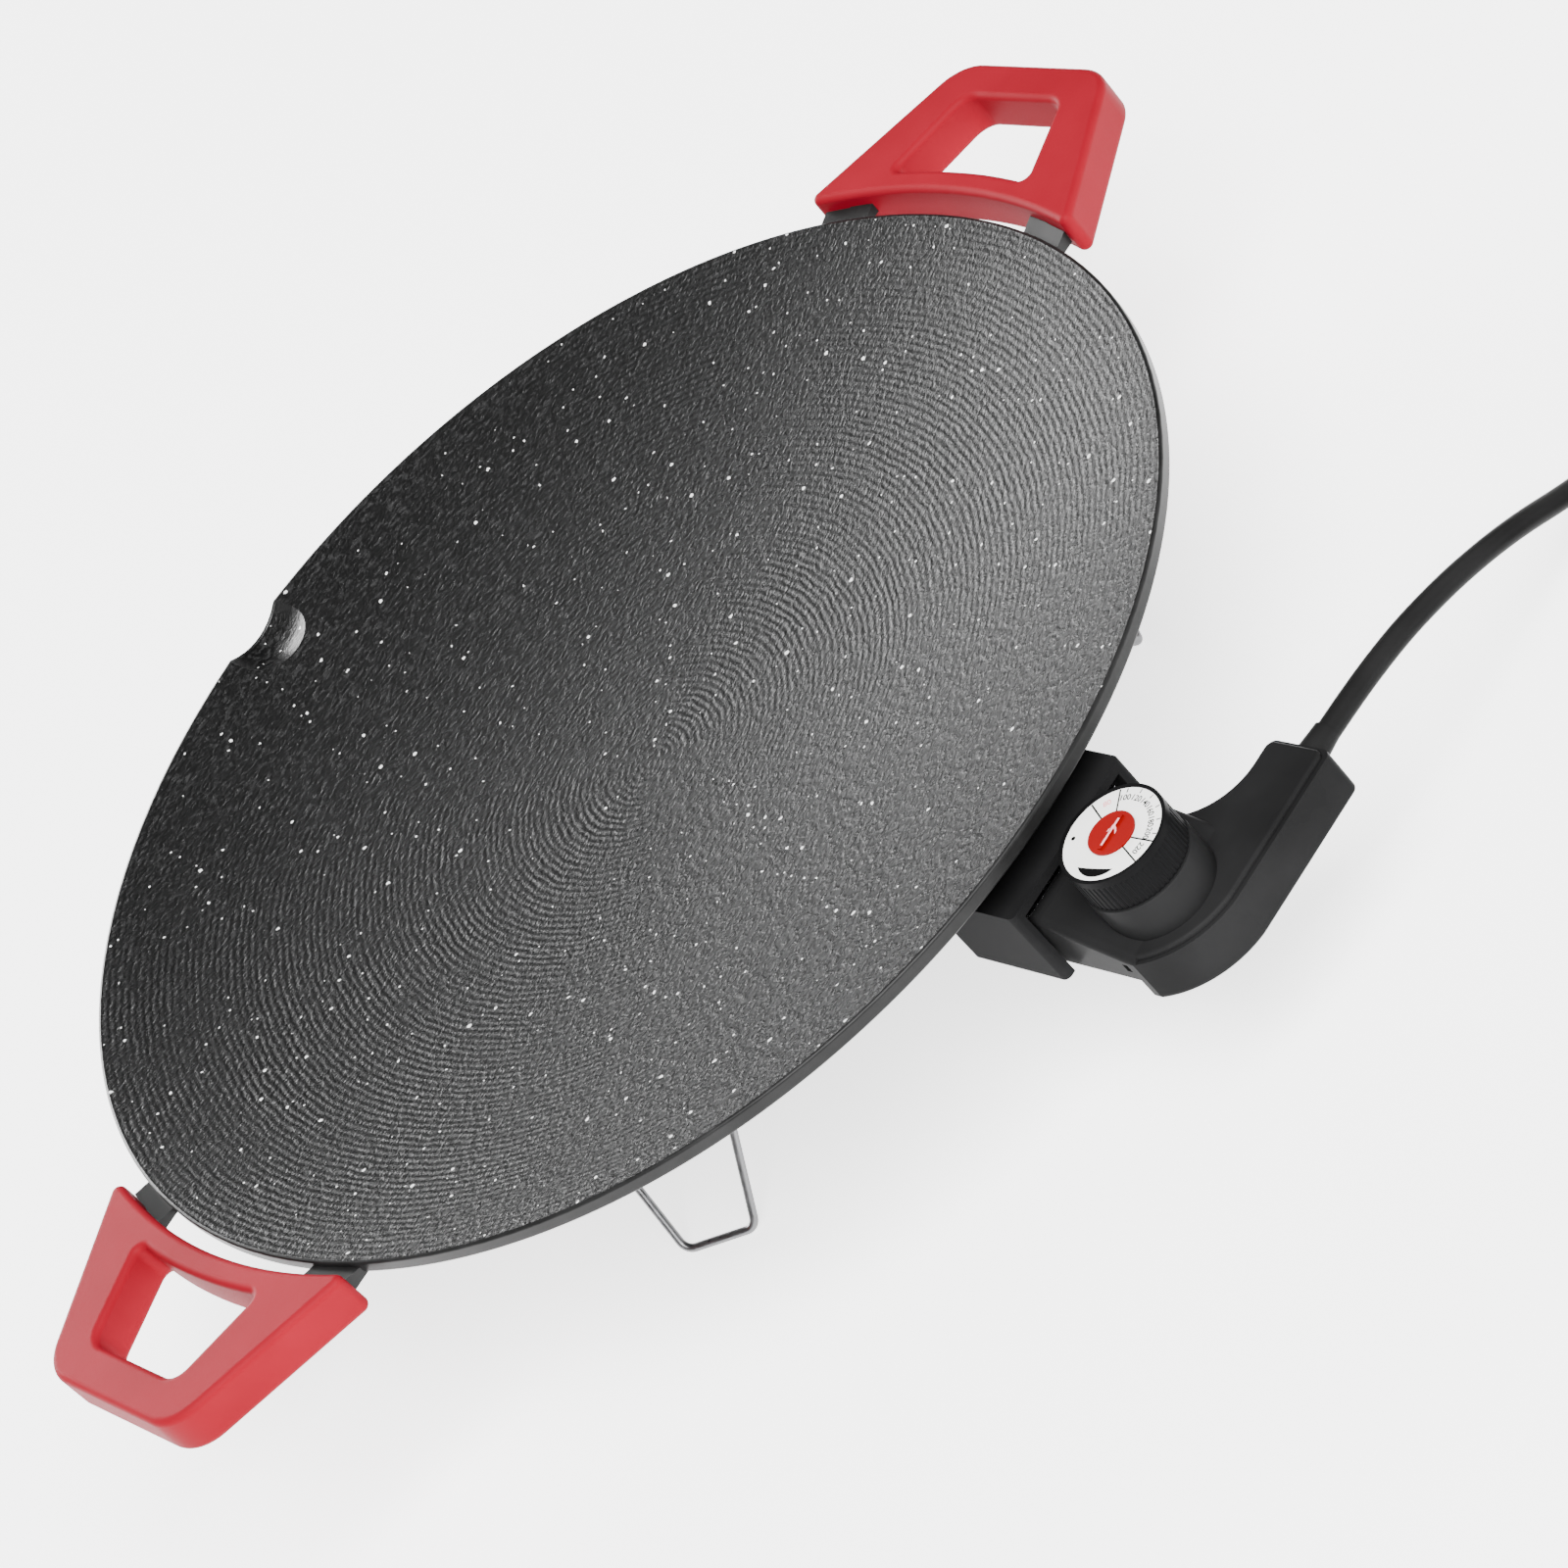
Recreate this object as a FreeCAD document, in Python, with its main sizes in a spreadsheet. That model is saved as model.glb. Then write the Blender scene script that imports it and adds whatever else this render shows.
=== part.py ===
import FreeCAD, Part
import math
import os
from collections import namedtuple

import Sketcher

from FreeCAD import Placement, Rotation, Vector

# Electric griddle: a dished round cast plate on three folding wire legs, two loop
# handles, and a plug-in thermostat controller with its mains lead.
# Frame: origin on the plate's axis at table level, +Z up, +X through the right handle,
# -Y towards the controller, +Y through the pouring spout. Millimetres throughout.

doc = FreeCAD.newDocument("electric_griddle")

# ---------------------------------------------------------------- driving dimensions
SHEET = {
    # cast plate
    "plate_radius": 190, "plate_height": 88, "dish_depth": 26, "plate_wall": 4.5,
    "rim_round": 0.8, "ring_half": 6.5, "ring_low": 61.5, "boss_half": 7, "boss_low": 50.5,
    "boss_end": 110, "hood_boss": 4.5, "pad_low": 62.5, "pad_half": 27, "pad_reach": 8,
    "lug_low": 82.5, "lug_high": 87.2, "lug_near": 40, "lug_far": 55, "lug_reach": 195.3,
    "lug_root": 176, "tang_near": 36.5, "tang_far": 45.5, "tang_reach": 208, "tang_root": 184,
    "tang_step": 1.2,
    "spout_bore": 21.5, "spout_deep": 4.2, "spout_wall": 3.2, "spout_start": 181,
    # handles
    "handle_low": 77.6, "handle_high": 92.4, "handle_start": 185, "handle_end": 246.2,
    "handle_inner": 195.6, "handle_root": 61.5, "handle_tip": 33.2, "handle_rail": 8,
    "handle_bar": 13.4, "grip_start": 190, "grip_root": 34.3, "grip_tip": 21.7,
    "grip_corner": 7, "handle_corner": 15.5, "handle_nose": 2.5, "handle_edge": 2.2,
    "handle_screw_x": 201, "handle_screw_y": 41,
    # heater, terminals and probe
    "heater_ring": 125, "heater_tube": 3.5, "heater_level": 66.3, "heater_bend": 10,
    "heater_step": 137, "heater_end": 160.5, "pin_spacing": 28, "pin_level": 60,
    "pin_radius": 2, "pin_long": 20.5, "bead_radius": 3.3, "bead_long": 3,
    "sleeve_start": 166.5, "sleeve_long": 24, "sleeve_deep": 17, "sleeve_radius": 3.1,
    "probe_level": 56, "probe_radius": 3.2, "probe_bore": 3.5, "probe_tip": 116,
    "probe_end": 204,
    # socket under the plate
    "hood_half": 27, "hood_low": 46, "hood_high": 73.5, "hood_wall": 3.5, "hood_roof": 2.9,
    "hood_rear": 152, "hood_back": 6, "hood_corner": 2, "tab_near": 18.5, "tab_rear": 142.4,
    "tab_low": 68, "tab_high": 72, "hood_screw_x": 22.5, "hood_screw_y": 146.6,
    "liner_thick": 1.2, "liner_edge": 4,
    # folding legs
    "hinge_radius": 99.5, "hinge_level": 58, "foot_radius": 134, "foot_half": 12,
    "hinge_half": 28.9, "wire_radius": 1.25, "leg_bend": 4, "pivot_end": 19,
    "front_leg_angle": 33.7, "sheet_thick": 1.5, "ear_near": 22.5, "ear_reach": 3.5,
    "ear_drop": 3, "web_back": 6.5, "shelf_near": 3.9, "stop_near": 5.5, "stop_far": 7,
    "stop_end": 31, "stop_deep": 9, "strap_screw": 11,
    # controller casing
    "neck_half": 22.4, "neck_low": 48, "neck_mouth": 186, "neck_high": 66.6,
    "case_split": 55.5, "grip_low": 40, "grip_high": 57.3, "grip_front": 238,
    "grip_rear": 216, "grip_end": 51, "case_wall": 2, "case_arc": 30, "case_hollow": 20, "case_corner": 2.5,
    "case_inset": 1.2, "bow_start": 218.5, "bow_end": 3, "roof_front": 219.5,
    "roof_break": 190.5, "post_radius": 2.9, "pilot_radius": 1.25, "seat_deep": 1,
    # inside the casing
    "block_half": 20.7, "block_front": 185.4, "block_rear": 165.6, "block_low": 50.1,
    "block_high": 66.3, "shield_gap": 0.1, "shield_thick": 0.8, "shield_front": 187.4,
    "shield_rear": 165, "stat_half": 8, "stat_front": 225, "stat_rear": 203.4,
    "stat_low": 50.4, "stat_high": 60.4, "stat_sheet": 1.6, "stack_half": 4.5,
    "stack_front": 224.4, "stack_rear": 218.6, "stack_high": 55.2, "blade_half": 2.5,
    "blade_thick": 0.4, "blade_rear": 206.4, "blade_low": 54, "fixed_rear": 207.4,
    "fixed_low": 52.4, "contact_radius": 1.4, "contact_y": 209.5,
    # dial
    "dial_y": 214, "dial_radius": 16, "dial_low": 70.3, "dial_high": 82,
    "turret_radius": 16.5, "turret_high": 70, "turret_wall": 2.5, "spindle_radius": 2.5,
    "spindle_low": 55, "spindle_high": 76.5, "flute_radius": 0.7, "dial_lip": 1.1,
    "dial_seat": 0.9, "face_thick": 0.7, "cap_radius": 7, "cap_thick": 0.6,
    "pointer_half": 5.6, "pointer_width": 1.1, "pointer_thick": 0.5,
    # mains lead
    "cord_radius": 3.4, "cord_level": 49.5, "cord_y": 226, "relief_start": 38,
    "relief_end": 60, "relief_wall": 1.0, "relief_tip": 0.3, "flange_wall": 2.0,
    "coil_x": 204, "coil_y": 252, "coil_mean": 34, "tail_y": 289.4, "tie_half": 3.5,
    "tie_thick": 0.8, "clamp_start": 33.5, "clamp_high": 55.2, "clamp_half": 7,
    "clamp_leg": 2.8, "clamp_top": 2.2,
    # mains plug
    "plug_front": 120, "plug_long": 28, "plug_half": 14.5, "plug_high": 20,
    "plug_corner": 3.5, "plug_soft": 1.2, "step_long": 11, "step_half": 10.5, "step_low": 1,
    "step_high": 18, "collar_long": 8, "collar_half": 9, "collar_low": 0.8,
    "collar_high": 19.2, "boot_long": 7, "boot_radius": 5.2, "boot_tip": 0.7,
    "tail_level": 10, "blade_x": 5, "blade_wide": 6.35, "blade_offset": 6.35,
    "blade_depth": 0.75, "blade_root": 6, "blade_long": 17, "earth_x": 20.1,
    "earth_radius": 2.38, "earth_long": 21, "earth_root": 1.9,
}

sheet = doc.addObject("Spreadsheet::Sheet", "sizes")
for row, (alias, number) in enumerate(SHEET.items(), start=1):
    sheet.set(f"A{row}", alias)
    sheet.set(f"B{row}", str(number))
    sheet.setAlias(f"B{row}", alias)
doc.recompute()


class Size:
    """A length that carries its value and the sheet expression it is bound by."""

    def __init__(self, text, value):
        self.text = text
        self.value = value

    def __add__(self, other):
        other = as_size(other)
        return Size(f"({self.text} + {other.text})", self.value + other.value)

    def __sub__(self, other):
        other = as_size(other)
        return Size(f"({self.text} - {other.text})", self.value - other.value)

    def __mul__(self, other):
        other = as_size(other)
        return Size(f"({self.text} * {other.text})", self.value * other.value)

    def __truediv__(self, other):
        other = as_size(other)
        return Size(f"({self.text} / {other.text})", self.value / other.value)

    def __radd__(self, other):
        return as_size(other) + self

    def __rsub__(self, other):
        return as_size(other) - self

    def __rmul__(self, other):
        return as_size(other) * self

    def __neg__(self):
        return Size(f"(0 - {self.text})", -self.value)

    def __float__(self):
        return float(self.value)


def as_size(number):
    if isinstance(number, Size):
        return number
    return Size(f"{float(number):.6f}", float(number))


class Cells:
    """cells.name is the sheet cell of that alias as a Size."""

    def __getattr__(self, alias):
        return Size(f"sizes.{alias}", float(sheet.get(alias)))


cell = Cells()
EVERY_NODE = []


# ---------------------------------------------------------------- building helpers
def vec(point):
    return Vector(*(float(value) for value in point))


def place(obj, base, rotation=None, turn=0.0):
    """Bind the position to the sheet; a turned piece is swung about the plate's axis."""
    rotation = rotation or Rotation()
    if turn:
        swing = Placement(Vector(), Rotation(Vector(0, 0, 1), turn))
        obj.Placement = swing.multiply(Placement(vec(base), rotation))
        return
    obj.Placement = Placement(vec(base), rotation)
    for axis, value in zip("xyz", base):
        obj.setExpression(f"Placement.Base.{axis}", as_size(value).text)


def box(name, low, high, turn=0.0):
    obj = doc.addObject("Part::Box", name)
    for side, start, end in zip(("Length", "Width", "Height"), low, high):
        obj.setExpression(side, (as_size(end) - start).text)
    place(obj, low, turn=turn)
    return obj


AXES = {
    "+z": Rotation(),
    "-z": Rotation(Vector(1, 0, 0), 180),
    "+x": Rotation(Vector(0, 1, 0), 90),
    "-x": Rotation(Vector(0, 1, 0), -90),
    "+y": Rotation(Vector(1, 0, 0), -90),
    "-y": Rotation(Vector(1, 0, 0), 90),
}


def rod(name, radius, length, start, axis="+z", turn=0.0):
    obj = doc.addObject("Part::Cylinder", name)
    obj.setExpression("Radius", as_size(radius).text)
    obj.setExpression("Height", as_size(length).text)
    place(obj, start, AXES[axis], turn)
    return obj


def taper(name, radius_start, radius_end, length, start, axis="+z"):
    obj = doc.addObject("Part::Cone", name)
    obj.setExpression("Radius1", as_size(radius_start).text)
    obj.setExpression("Radius2", as_size(radius_end).text)
    obj.setExpression("Height", as_size(length).text)
    place(obj, start, AXES[axis])
    return obj


def ball(name, radius, centre):
    obj = doc.addObject("Part::Sphere", name)
    obj.setExpression("Radius", as_size(radius).text)
    place(obj, centre)
    return obj


def outline(name, corners, rotation=None):
    """A closed sketch, corners in counter-clockwise order, each bound to the sheet.

    A corner is (x, y) or (x, y, radius); the radius bends the side that follows it,
    outwards when positive and inwards when negative.
    """
    sketch = doc.addObject("Sketcher::SketchObject", name)
    if rotation:
        sketch.Placement = Placement(Vector(), rotation)
    count = len(corners)
    points = [Vector(float(c[0]), float(c[1]), 0) for c in corners]
    first_end = []
    for index, corner in enumerate(corners):
        start, end = points[index], points[(index + 1) % count]
        if len(corner) < 3:
            sketch.addGeometry(Part.LineSegment(start, end), False)
            first_end.append(1)
            continue
        radius = float(corner[2])
        chord = end.sub(start)
        height = math.sqrt(radius ** 2 - (chord.Length / 2) ** 2)
        left = Vector(-chord.y, chord.x, 0).normalize()
        side = 1 if radius > 0 else -1
        centre = start.add(chord.multiply(0.5)).add(left.multiply(side * height))
        begin, finish = (start, end) if radius > 0 else (end, start)
        angles = [math.atan2(p.y - centre.y, p.x - centre.x) for p in (begin, finish)]
        circle = Part.Circle(centre, Vector(0, 0, 1), abs(radius))
        sketch.addGeometry(Part.ArcOfCircle(circle, angles[0], angles[1]), False)
        first_end.append(1 if radius > 0 else 2)
    for index, corner in enumerate(corners):
        after = (index + 1) % count
        start_end = first_end[index]
        sketch.addConstraint(Sketcher.Constraint(
            "Coincident", index, 3 - start_end, after, first_end[after]))
        for kind, number in zip(("DistanceX", "DistanceY"), corner[:2]):
            number = as_size(number)
            if abs(number.value) < 1e-9:
                line = -2 if kind == "DistanceX" else -1
                sketch.addConstraint(
                    Sketcher.Constraint("PointOnObject", index, start_end, line))
                continue
            tie = sketch.addConstraint(
                Sketcher.Constraint(kind, -1, 1, index, start_end, number.value))
            sketch.setExpression(f"Constraints[{tie}]", number.text)
        if len(corner) == 3:
            radius = as_size(corner[2])
            radius = radius if radius.value > 0 else -radius
            tie = sketch.addConstraint(Sketcher.Constraint("Radius", index, radius.value))
            sketch.setExpression(f"Constraints[{tie}]", radius.text)
    return sketch


def prism(name, corners, low, high):
    """An outline in the table plane, raised between two levels."""
    obj = doc.addObject("Part::Extrusion", name)
    obj.Base = outline(name + "_outline", corners)
    obj.DirMode = "Custom"
    obj.Dir = Vector(0, 0, 1)
    obj.Solid = True
    obj.setExpression("LengthFwd", (as_size(high) - low).text)
    obj.setExpression("Placement.Base.z", as_size(low).text)
    return obj


def side_prism(name, corners, half_width):
    """An outline in the YZ plane, widened to both sides of it along X."""
    obj = doc.addObject("Part::Extrusion", name)
    obj.Base = outline(name + "_outline", corners, Rotation(Vector(1, 1, 1), 120))
    obj.DirMode = "Custom"
    obj.Dir = Vector(1, 0, 0)
    obj.Solid = True
    obj.Symmetric = True
    obj.setExpression("LengthFwd", (as_size(half_width) * 2).text)
    return obj


def fuse(name, *pieces):
    obj = doc.addObject("Part::MultiFuse", name)
    obj.Shapes = list(pieces)
    return obj


def common(name, first, second):
    obj = doc.addObject("Part::Common", name)
    obj.Base = first
    obj.Tool = second
    return obj


def cut(name, base, *tools):
    obj = doc.addObject("Part::Cut", name)
    obj.Base = base
    obj.Tool = tools[0] if len(tools) == 1 else fuse(name + "_tools", *tools)
    return obj


def group(name, pieces):
    obj = doc.addObject("Part::Compound", name)
    obj.Links = list(pieces)
    return obj


def rounded(name, base, radius, wanted):
    """Fillet the edges of base that wanted(edge) picks."""
    doc.recompute()
    obj = doc.addObject("Part::Fillet", name)
    obj.Base = base
    radius = float(radius)
    obj.Edges = [(number, radius, radius)
                 for number, edge in enumerate(base.Shape.Edges, start=1) if wanted(edge)]
    return obj


def upright(edge):
    """True for a straight edge along Z."""
    if not isinstance(edge.Curve, Part.Line):
        return False
    return abs(edge.Curve.Direction.z) > 0.999


def level_at(height):
    """A test for edges that lie wholly at one height."""
    height = float(height)

    def wanted(edge):
        bounds = edge.BoundBox
        return abs(bounds.ZMin - height) < 1e-4 and abs(bounds.ZMax - height) < 1e-4
    return wanted


def shaped(name, shape, base=None):
    """A piece whose form is neither a primitive nor a pad: its Shape comes from Part."""
    obj = doc.addObject("Part::Feature", name)
    obj.Shape = shape
    if base:
        obj.Placement = Placement(vec(base), Rotation())
    return obj


def node(obj, label):
    obj.Label = label
    EVERY_NODE.append(obj)
    return obj


def bent_path(points, radii):
    """Straight runs between the points, each inner corner eased by a tangent arc."""
    points = [vec(p) for p in points]
    edges = []
    start = points[0]
    for before, corner, after, radius in zip(points, points[1:], points[2:], radii):
        back = before.sub(corner).normalize()
        ahead = after.sub(corner).normalize()
        half = back.getAngle(ahead) / 2
        reach = radius / math.tan(half)
        first = corner.add(Vector(back).multiply(reach))
        last = corner.add(Vector(ahead).multiply(reach))
        middle = back.add(ahead).normalize()
        nearest = corner.add(middle.multiply(radius / math.sin(half) - radius))
        if start.distanceToPoint(first) > 1e-6:
            edges.append(Part.LineSegment(start, first).toShape())
        edges.append(Part.Arc(first, nearest, last).toShape())
        start = last
    edges.append(Part.LineSegment(start, points[-1]).toShape())
    return Part.Wire(edges)


def tube(path, radius):
    """A round solid along a path."""
    start = path.Edges[0]
    at = start.valueAt(start.FirstParameter)
    along = start.tangentAt(start.FirstParameter)
    section = Part.Wire(Part.Circle(at, along, float(radius)).toShape())
    return path.makePipeShell([section], True, False)


# ---------------------------------------------------------------- shared allowances
OVER = 1.0               # how far a cutting tool runs past the face it opens
SLIDE = 0.08             # radial play of a turning or plugging fit
BLANK_LOW = 40.0         # casting blanks start below every cast feature
BLANK_LONG = 60.0        # and run past the rim
SIDES = ((-1, "left"), (1, "right"))
ENDS = ((-1, "front"), (1, "back"))
front_angle = float(cell.front_leg_angle)
LEG_ANGLES = {"left": front_angle - 180, "right": -front_angle, "rear": 90.0}

# ---------------------------------------------------------------- the cast plate
dish_floor = cell.plate_height - cell.dish_depth
dish_radius = (cell.plate_radius * cell.plate_radius + cell.dish_depth * cell.dish_depth) / (
    2 * cell.dish_depth)
dish_centre = dish_floor + dish_radius


def dish_level(radius):
    """Height of the cooking surface at a distance from the axis."""
    big = float(dish_radius)
    return float(dish_centre) - math.sqrt(big ** 2 - float(radius) ** 2)


def plate_body():
    blank = rod("plate_blank", cell.plate_radius, cell.plate_height - BLANK_LOW,
                (0, 0, BLANK_LOW))
    under = ball("plate_underside", dish_radius + cell.plate_wall, (0, 0, dish_centre))
    hollow = ball("plate_dish", dish_radius, (0, 0, dish_centre))
    shell = cut("plate_shell", common("plate_disc", blank, under), hollow)
    at_rim = float(cell.plate_radius)

    def rim_edge(edge):
        return abs(edge.BoundBox.XMax - at_rim) < 1e-3 and isinstance(edge.Curve, Part.Circle)
    return rounded("plate_rim", shell, cell.rim_round, rim_edge)


def spout_capsule(name, radius):
    """A ball-ended bore that runs out over the rim, parallel to the dish beside it."""
    slope = math.asin(float(cell.spout_start) / float(dish_radius))
    lift = float(cell.spout_bore) - float(cell.spout_deep)
    centre = Vector(0, float(cell.spout_start) - lift * math.sin(slope),
                    dish_level(cell.spout_start) + lift * math.cos(slope))
    end = doc.addObject("Part::Sphere", name + "_end")
    end.setExpression("Radius", radius.text)
    end.Placement = Placement(centre, Rotation())
    run = doc.addObject("Part::Cylinder", name + "_run")
    run.setExpression("Radius", radius.text)
    run.Height = BLANK_LONG
    run.Placement = Placement(centre, Rotation(Vector(1, 0, 0), math.degrees(slope) - 90))
    return fuse(name, end, run)


def plate_bosses():
    """Everything cast on below the dish, before its top is trimmed away."""
    top = cell.plate_height
    ring_high = top - cell.ring_low
    ring = cut("heater_ring_boss",
               rod("heater_ring_outer", cell.heater_ring + cell.ring_half, ring_high,
                   (0, 0, cell.ring_low)),
               rod("heater_ring_inner", cell.heater_ring - cell.ring_half,
                   ring_high + 2 * OVER, (0, 0, cell.ring_low - OVER)))
    probe = box("probe_boss", (-cell.boss_half, 2 * OVER - cell.hood_rear, cell.boss_low),
                (cell.boss_half, -cell.boss_end, top))
    pieces = [ring, probe]
    for side, label in SIDES:
        pieces.append(rod(f"hood_boss_{label}", cell.hood_boss, top - cell.tab_high,
                          (side * cell.hood_screw_x, -cell.hood_screw_y, cell.tab_high)))
    for label, angle in LEG_ANGLES.items():
        pieces.append(box(
            f"{label}_leg_pad",
            (cell.hinge_radius - cell.pad_reach, -cell.pad_half, cell.pad_low),
            (cell.hinge_radius + cell.pad_reach, cell.pad_half, top), turn=angle))
    lip = common("spout_lip_cast",
                 spout_capsule("spout_outer", cell.spout_bore + cell.spout_wall),
                 rod("spout_lip_limit", cell.plate_radius, BLANK_LONG, (0, 0, BLANK_LOW)))
    pieces.append(lip)
    return fuse("plate_bosses", *pieces)


def mirrored_box(name, side, end, x_span, y_span, z_span):
    """A box in one of the four quarters around the axis; the spans are the positive ones."""
    x_low, x_high = x_span if side > 0 else (-x_span[1], -x_span[0])
    y_low, y_high = y_span if end > 0 else (-y_span[1], -y_span[0])
    return box(name, (x_low, y_low, z_span[0]), (x_high, y_high, z_span[1]))


def lug_block(name, side, end):
    """A cast lug that carries one root of a handle, cut round with the rim."""
    block = mirrored_box(f"lug_block_{name}", side, end,
                         (cell.lug_root, cell.tang_reach), (cell.lug_near, cell.lug_far),
                         (cell.lug_low, cell.lug_high))
    return common(f"lug_{name}", block,
                  rod(f"lug_limit_{name}", cell.lug_reach, BLANK_LONG, (0, 0, BLANK_LOW)))


def tang_box(name, side, end, slack=0.0):
    """The narrow end of a lug inside the handle, or with slack the pocket round it."""
    return mirrored_box(name, side, end,
                        (cell.tang_root, cell.tang_reach + slack),
                        (cell.tang_near - slack, cell.tang_far + slack),
                        (cell.lug_low + cell.tang_step - slack, cell.lug_high + slack))


lugs = []
for side, side_name in SIDES:
    for end, end_name in ENDS:
        lugs.append(lug_block(f"{side_name}_{end_name}", side, end))
        lugs.append(tang_box(f"tang_{side_name}_{end_name}", side, end))
trimmed = cut("cast_under_dish", fuse("cast_on_parts", plate_bosses(), *lugs),
              ball("cast_trim", dish_radius + cell.plate_wall / 2, (0, 0, dish_centre)))
plate_cast = fuse("plate_cast", plate_body(), trimmed)

# ---------------------------------------------------------------- heater and its terminals
HEATER_GROOVE = 0.12     # room cast round the sheath


def heater_path():
    """Most of a ring, then two cold ends that turn out and step down to the terminals."""
    ring = float(cell.heater_ring)
    bend = float(cell.heater_bend)
    level = float(cell.heater_level)
    low = float(cell.pin_level)
    step = float(cell.heater_step)
    step_start, step_end, step_bend = step + 3, step + 12, 6
    end_x = float(cell.pin_spacing) / 2
    bend_y = -math.sqrt((ring + bend) ** 2 - (end_x + bend) ** 2)
    share = ring / (ring + bend)
    halves = []
    for side in (1, -1):
        centre = Vector(side * (end_x + bend), bend_y, level)
        leave = Vector(centre.x * share, centre.y * share, level)
        arrive = Vector(side * end_x, bend_y, level)
        toward = leave.sub(centre).normalize().add(arrive.sub(centre).normalize()).normalize()
        middle = centre.add(toward.multiply(bend))
        drop = bent_path([arrive, (side * end_x, -step_start, level),
                          (side * end_x, -step_end, low),
                          (side * end_x, -float(cell.heater_end), low)],
                         [step_bend, step_bend])
        halves.append((leave, Part.Arc(leave, middle, arrive).toShape(), drop.Edges))
    around = Part.Arc(halves[0][0], Vector(0, ring, level), halves[1][0]).toShape()
    edges = [around]
    for _, bend_edge, run in halves:
        edges += [bend_edge] + run
    return Part.Wire(Part.__sortEdges__(edges))


node(shaped("heater", tube(heater_path(), cell.heater_tube)), "heater_element")
heater_room = shaped("heater_room", tube(heater_path(), cell.heater_tube + HEATER_GROOVE))

SLEEVE_FIT = 0.06        # radial play of a terminal in its sleeve
terminal_rods, terminal_beads, terminal_sleeves, sleeve_bores = [], [], [], []
for side, side_name in SIDES:
    pin_x = side * cell.pin_spacing / 2

    def ahead(name, radius, length, start):
        """A cylinder on this terminal's axis that runs towards the controller."""
        return rod(f"{name}_{side_name}", radius, length, (pin_x, -start, cell.pin_level), "-y")
    terminal_rods.append(ahead("terminal", cell.pin_radius, cell.pin_long, cell.heater_end))
    terminal_beads.append(cut(
        f"bead_ring_{side_name}",
        ahead("bead", cell.bead_radius, cell.bead_long, cell.heater_end),
        ahead("bead_hole", cell.pin_radius, cell.bead_long + 2 * OVER,
              cell.heater_end - OVER)))
    terminal_sleeves.append(cut(
        f"sleeve_tube_{side_name}",
        ahead("sleeve", cell.sleeve_radius, cell.sleeve_long, cell.sleeve_start),
        ahead("sleeve_hole", cell.pin_radius + SLEEVE_FIT, cell.sleeve_deep + OVER,
              cell.sleeve_start - OVER)))
    sleeve_bores.append(ahead("sleeve_bore", cell.sleeve_radius + SLIDE / 2,
                              cell.sleeve_long + 2 * OVER, cell.sleeve_start - OVER))
node(group("terminal_rods", terminal_rods), "terminal_pins")
node(group("terminal_beads", terminal_beads), "pin_insulators")
node(group("terminal_tubes", terminal_sleeves), "terminal_sleeves")

# ---------------------------------------------------------------- screws
ScrewSize = namedtuple("ScrewSize", "head_radius head_high shank_radius shank_long")
HANDLE_SCREW = ScrewSize(3.3, 2.2, 2.0, 6.3)
STRAP_SCREW = ScrewSize(3.0, 2.0, 1.6, 5.5)
HOOD_SCREW = ScrewSize(3.0, 2.0, 1.6, 8.0)
CASE_SCREW = ScrewSize(2.6, 0.9, 1.2, 7.0)
HEAD_SUNK = 0.3          # how far a handle screw's head sits inside its seat
SLOT_HALF = 0.4


def screw(name, size, start, turn=0.0):
    """A slotted pan head that starts at a point, with its shank above it."""
    x, y, z = (as_size(value) for value in start)
    head = rod(name + "_head", size.head_radius, size.head_high, (x, y, z), turn=turn)
    shank = rod(name + "_shank", size.shank_radius, size.shank_long,
                (x, y, z + size.head_high), turn=turn)
    reach = size.head_radius + OVER
    slot = box(name + "_slot", (x - reach, y - SLOT_HALF, z - OVER),
               (x + reach, y + SLOT_HALF, z + size.head_high / 2), turn=turn)
    return cut(name + "_slotted", fuse(name, head, shank), slot)


handle_screws, strap_screws, hood_screws = [], [], []
for side, side_name in SIDES:
    for end, end_name in ENDS:
        handle_screws.append(screw(
            f"handle_screw_{side_name}_{end_name}", HANDLE_SCREW,
            (side * cell.handle_screw_x, end * cell.handle_screw_y,
             cell.handle_low + HEAD_SUNK)))
    hood_screws.append(screw(
        f"hood_screw_{side_name}", HOOD_SCREW,
        (side * cell.hood_screw_x, -cell.hood_screw_y, cell.tab_low - HOOD_SCREW.head_high)))
for label, angle in LEG_ANGLES.items():
    for side, side_name in SIDES:
        strap_screws.append(screw(
            f"{label}_strap_screw_{side_name}", STRAP_SCREW,
            (cell.hinge_radius, side * cell.strap_screw,
             cell.pad_low - cell.sheet_thick - STRAP_SCREW.head_high), angle))
node(group("handle_screw_set", handle_screws), "handle_screws")
node(group("strap_screw_set", strap_screws), "bracket_screws")
node(group("hood_screw_set", hood_screws), "hood_screws")

probe_bore = rod("probe_bore_tool", cell.probe_bore, cell.hood_rear - cell.probe_tip + 3,
                 (0, -cell.hood_rear, cell.probe_level), "+y")
node(cut("plate_finished", plate_cast, spout_capsule("spout_inner", cell.spout_bore),
         heater_room, probe_bore, *handle_screws, *strap_screws, *hood_screws),
     "griddle_plate")

# ---------------------------------------------------------------- handles
SCREW_ROOM = 0.3         # radial room round a screw head in its seat


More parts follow.
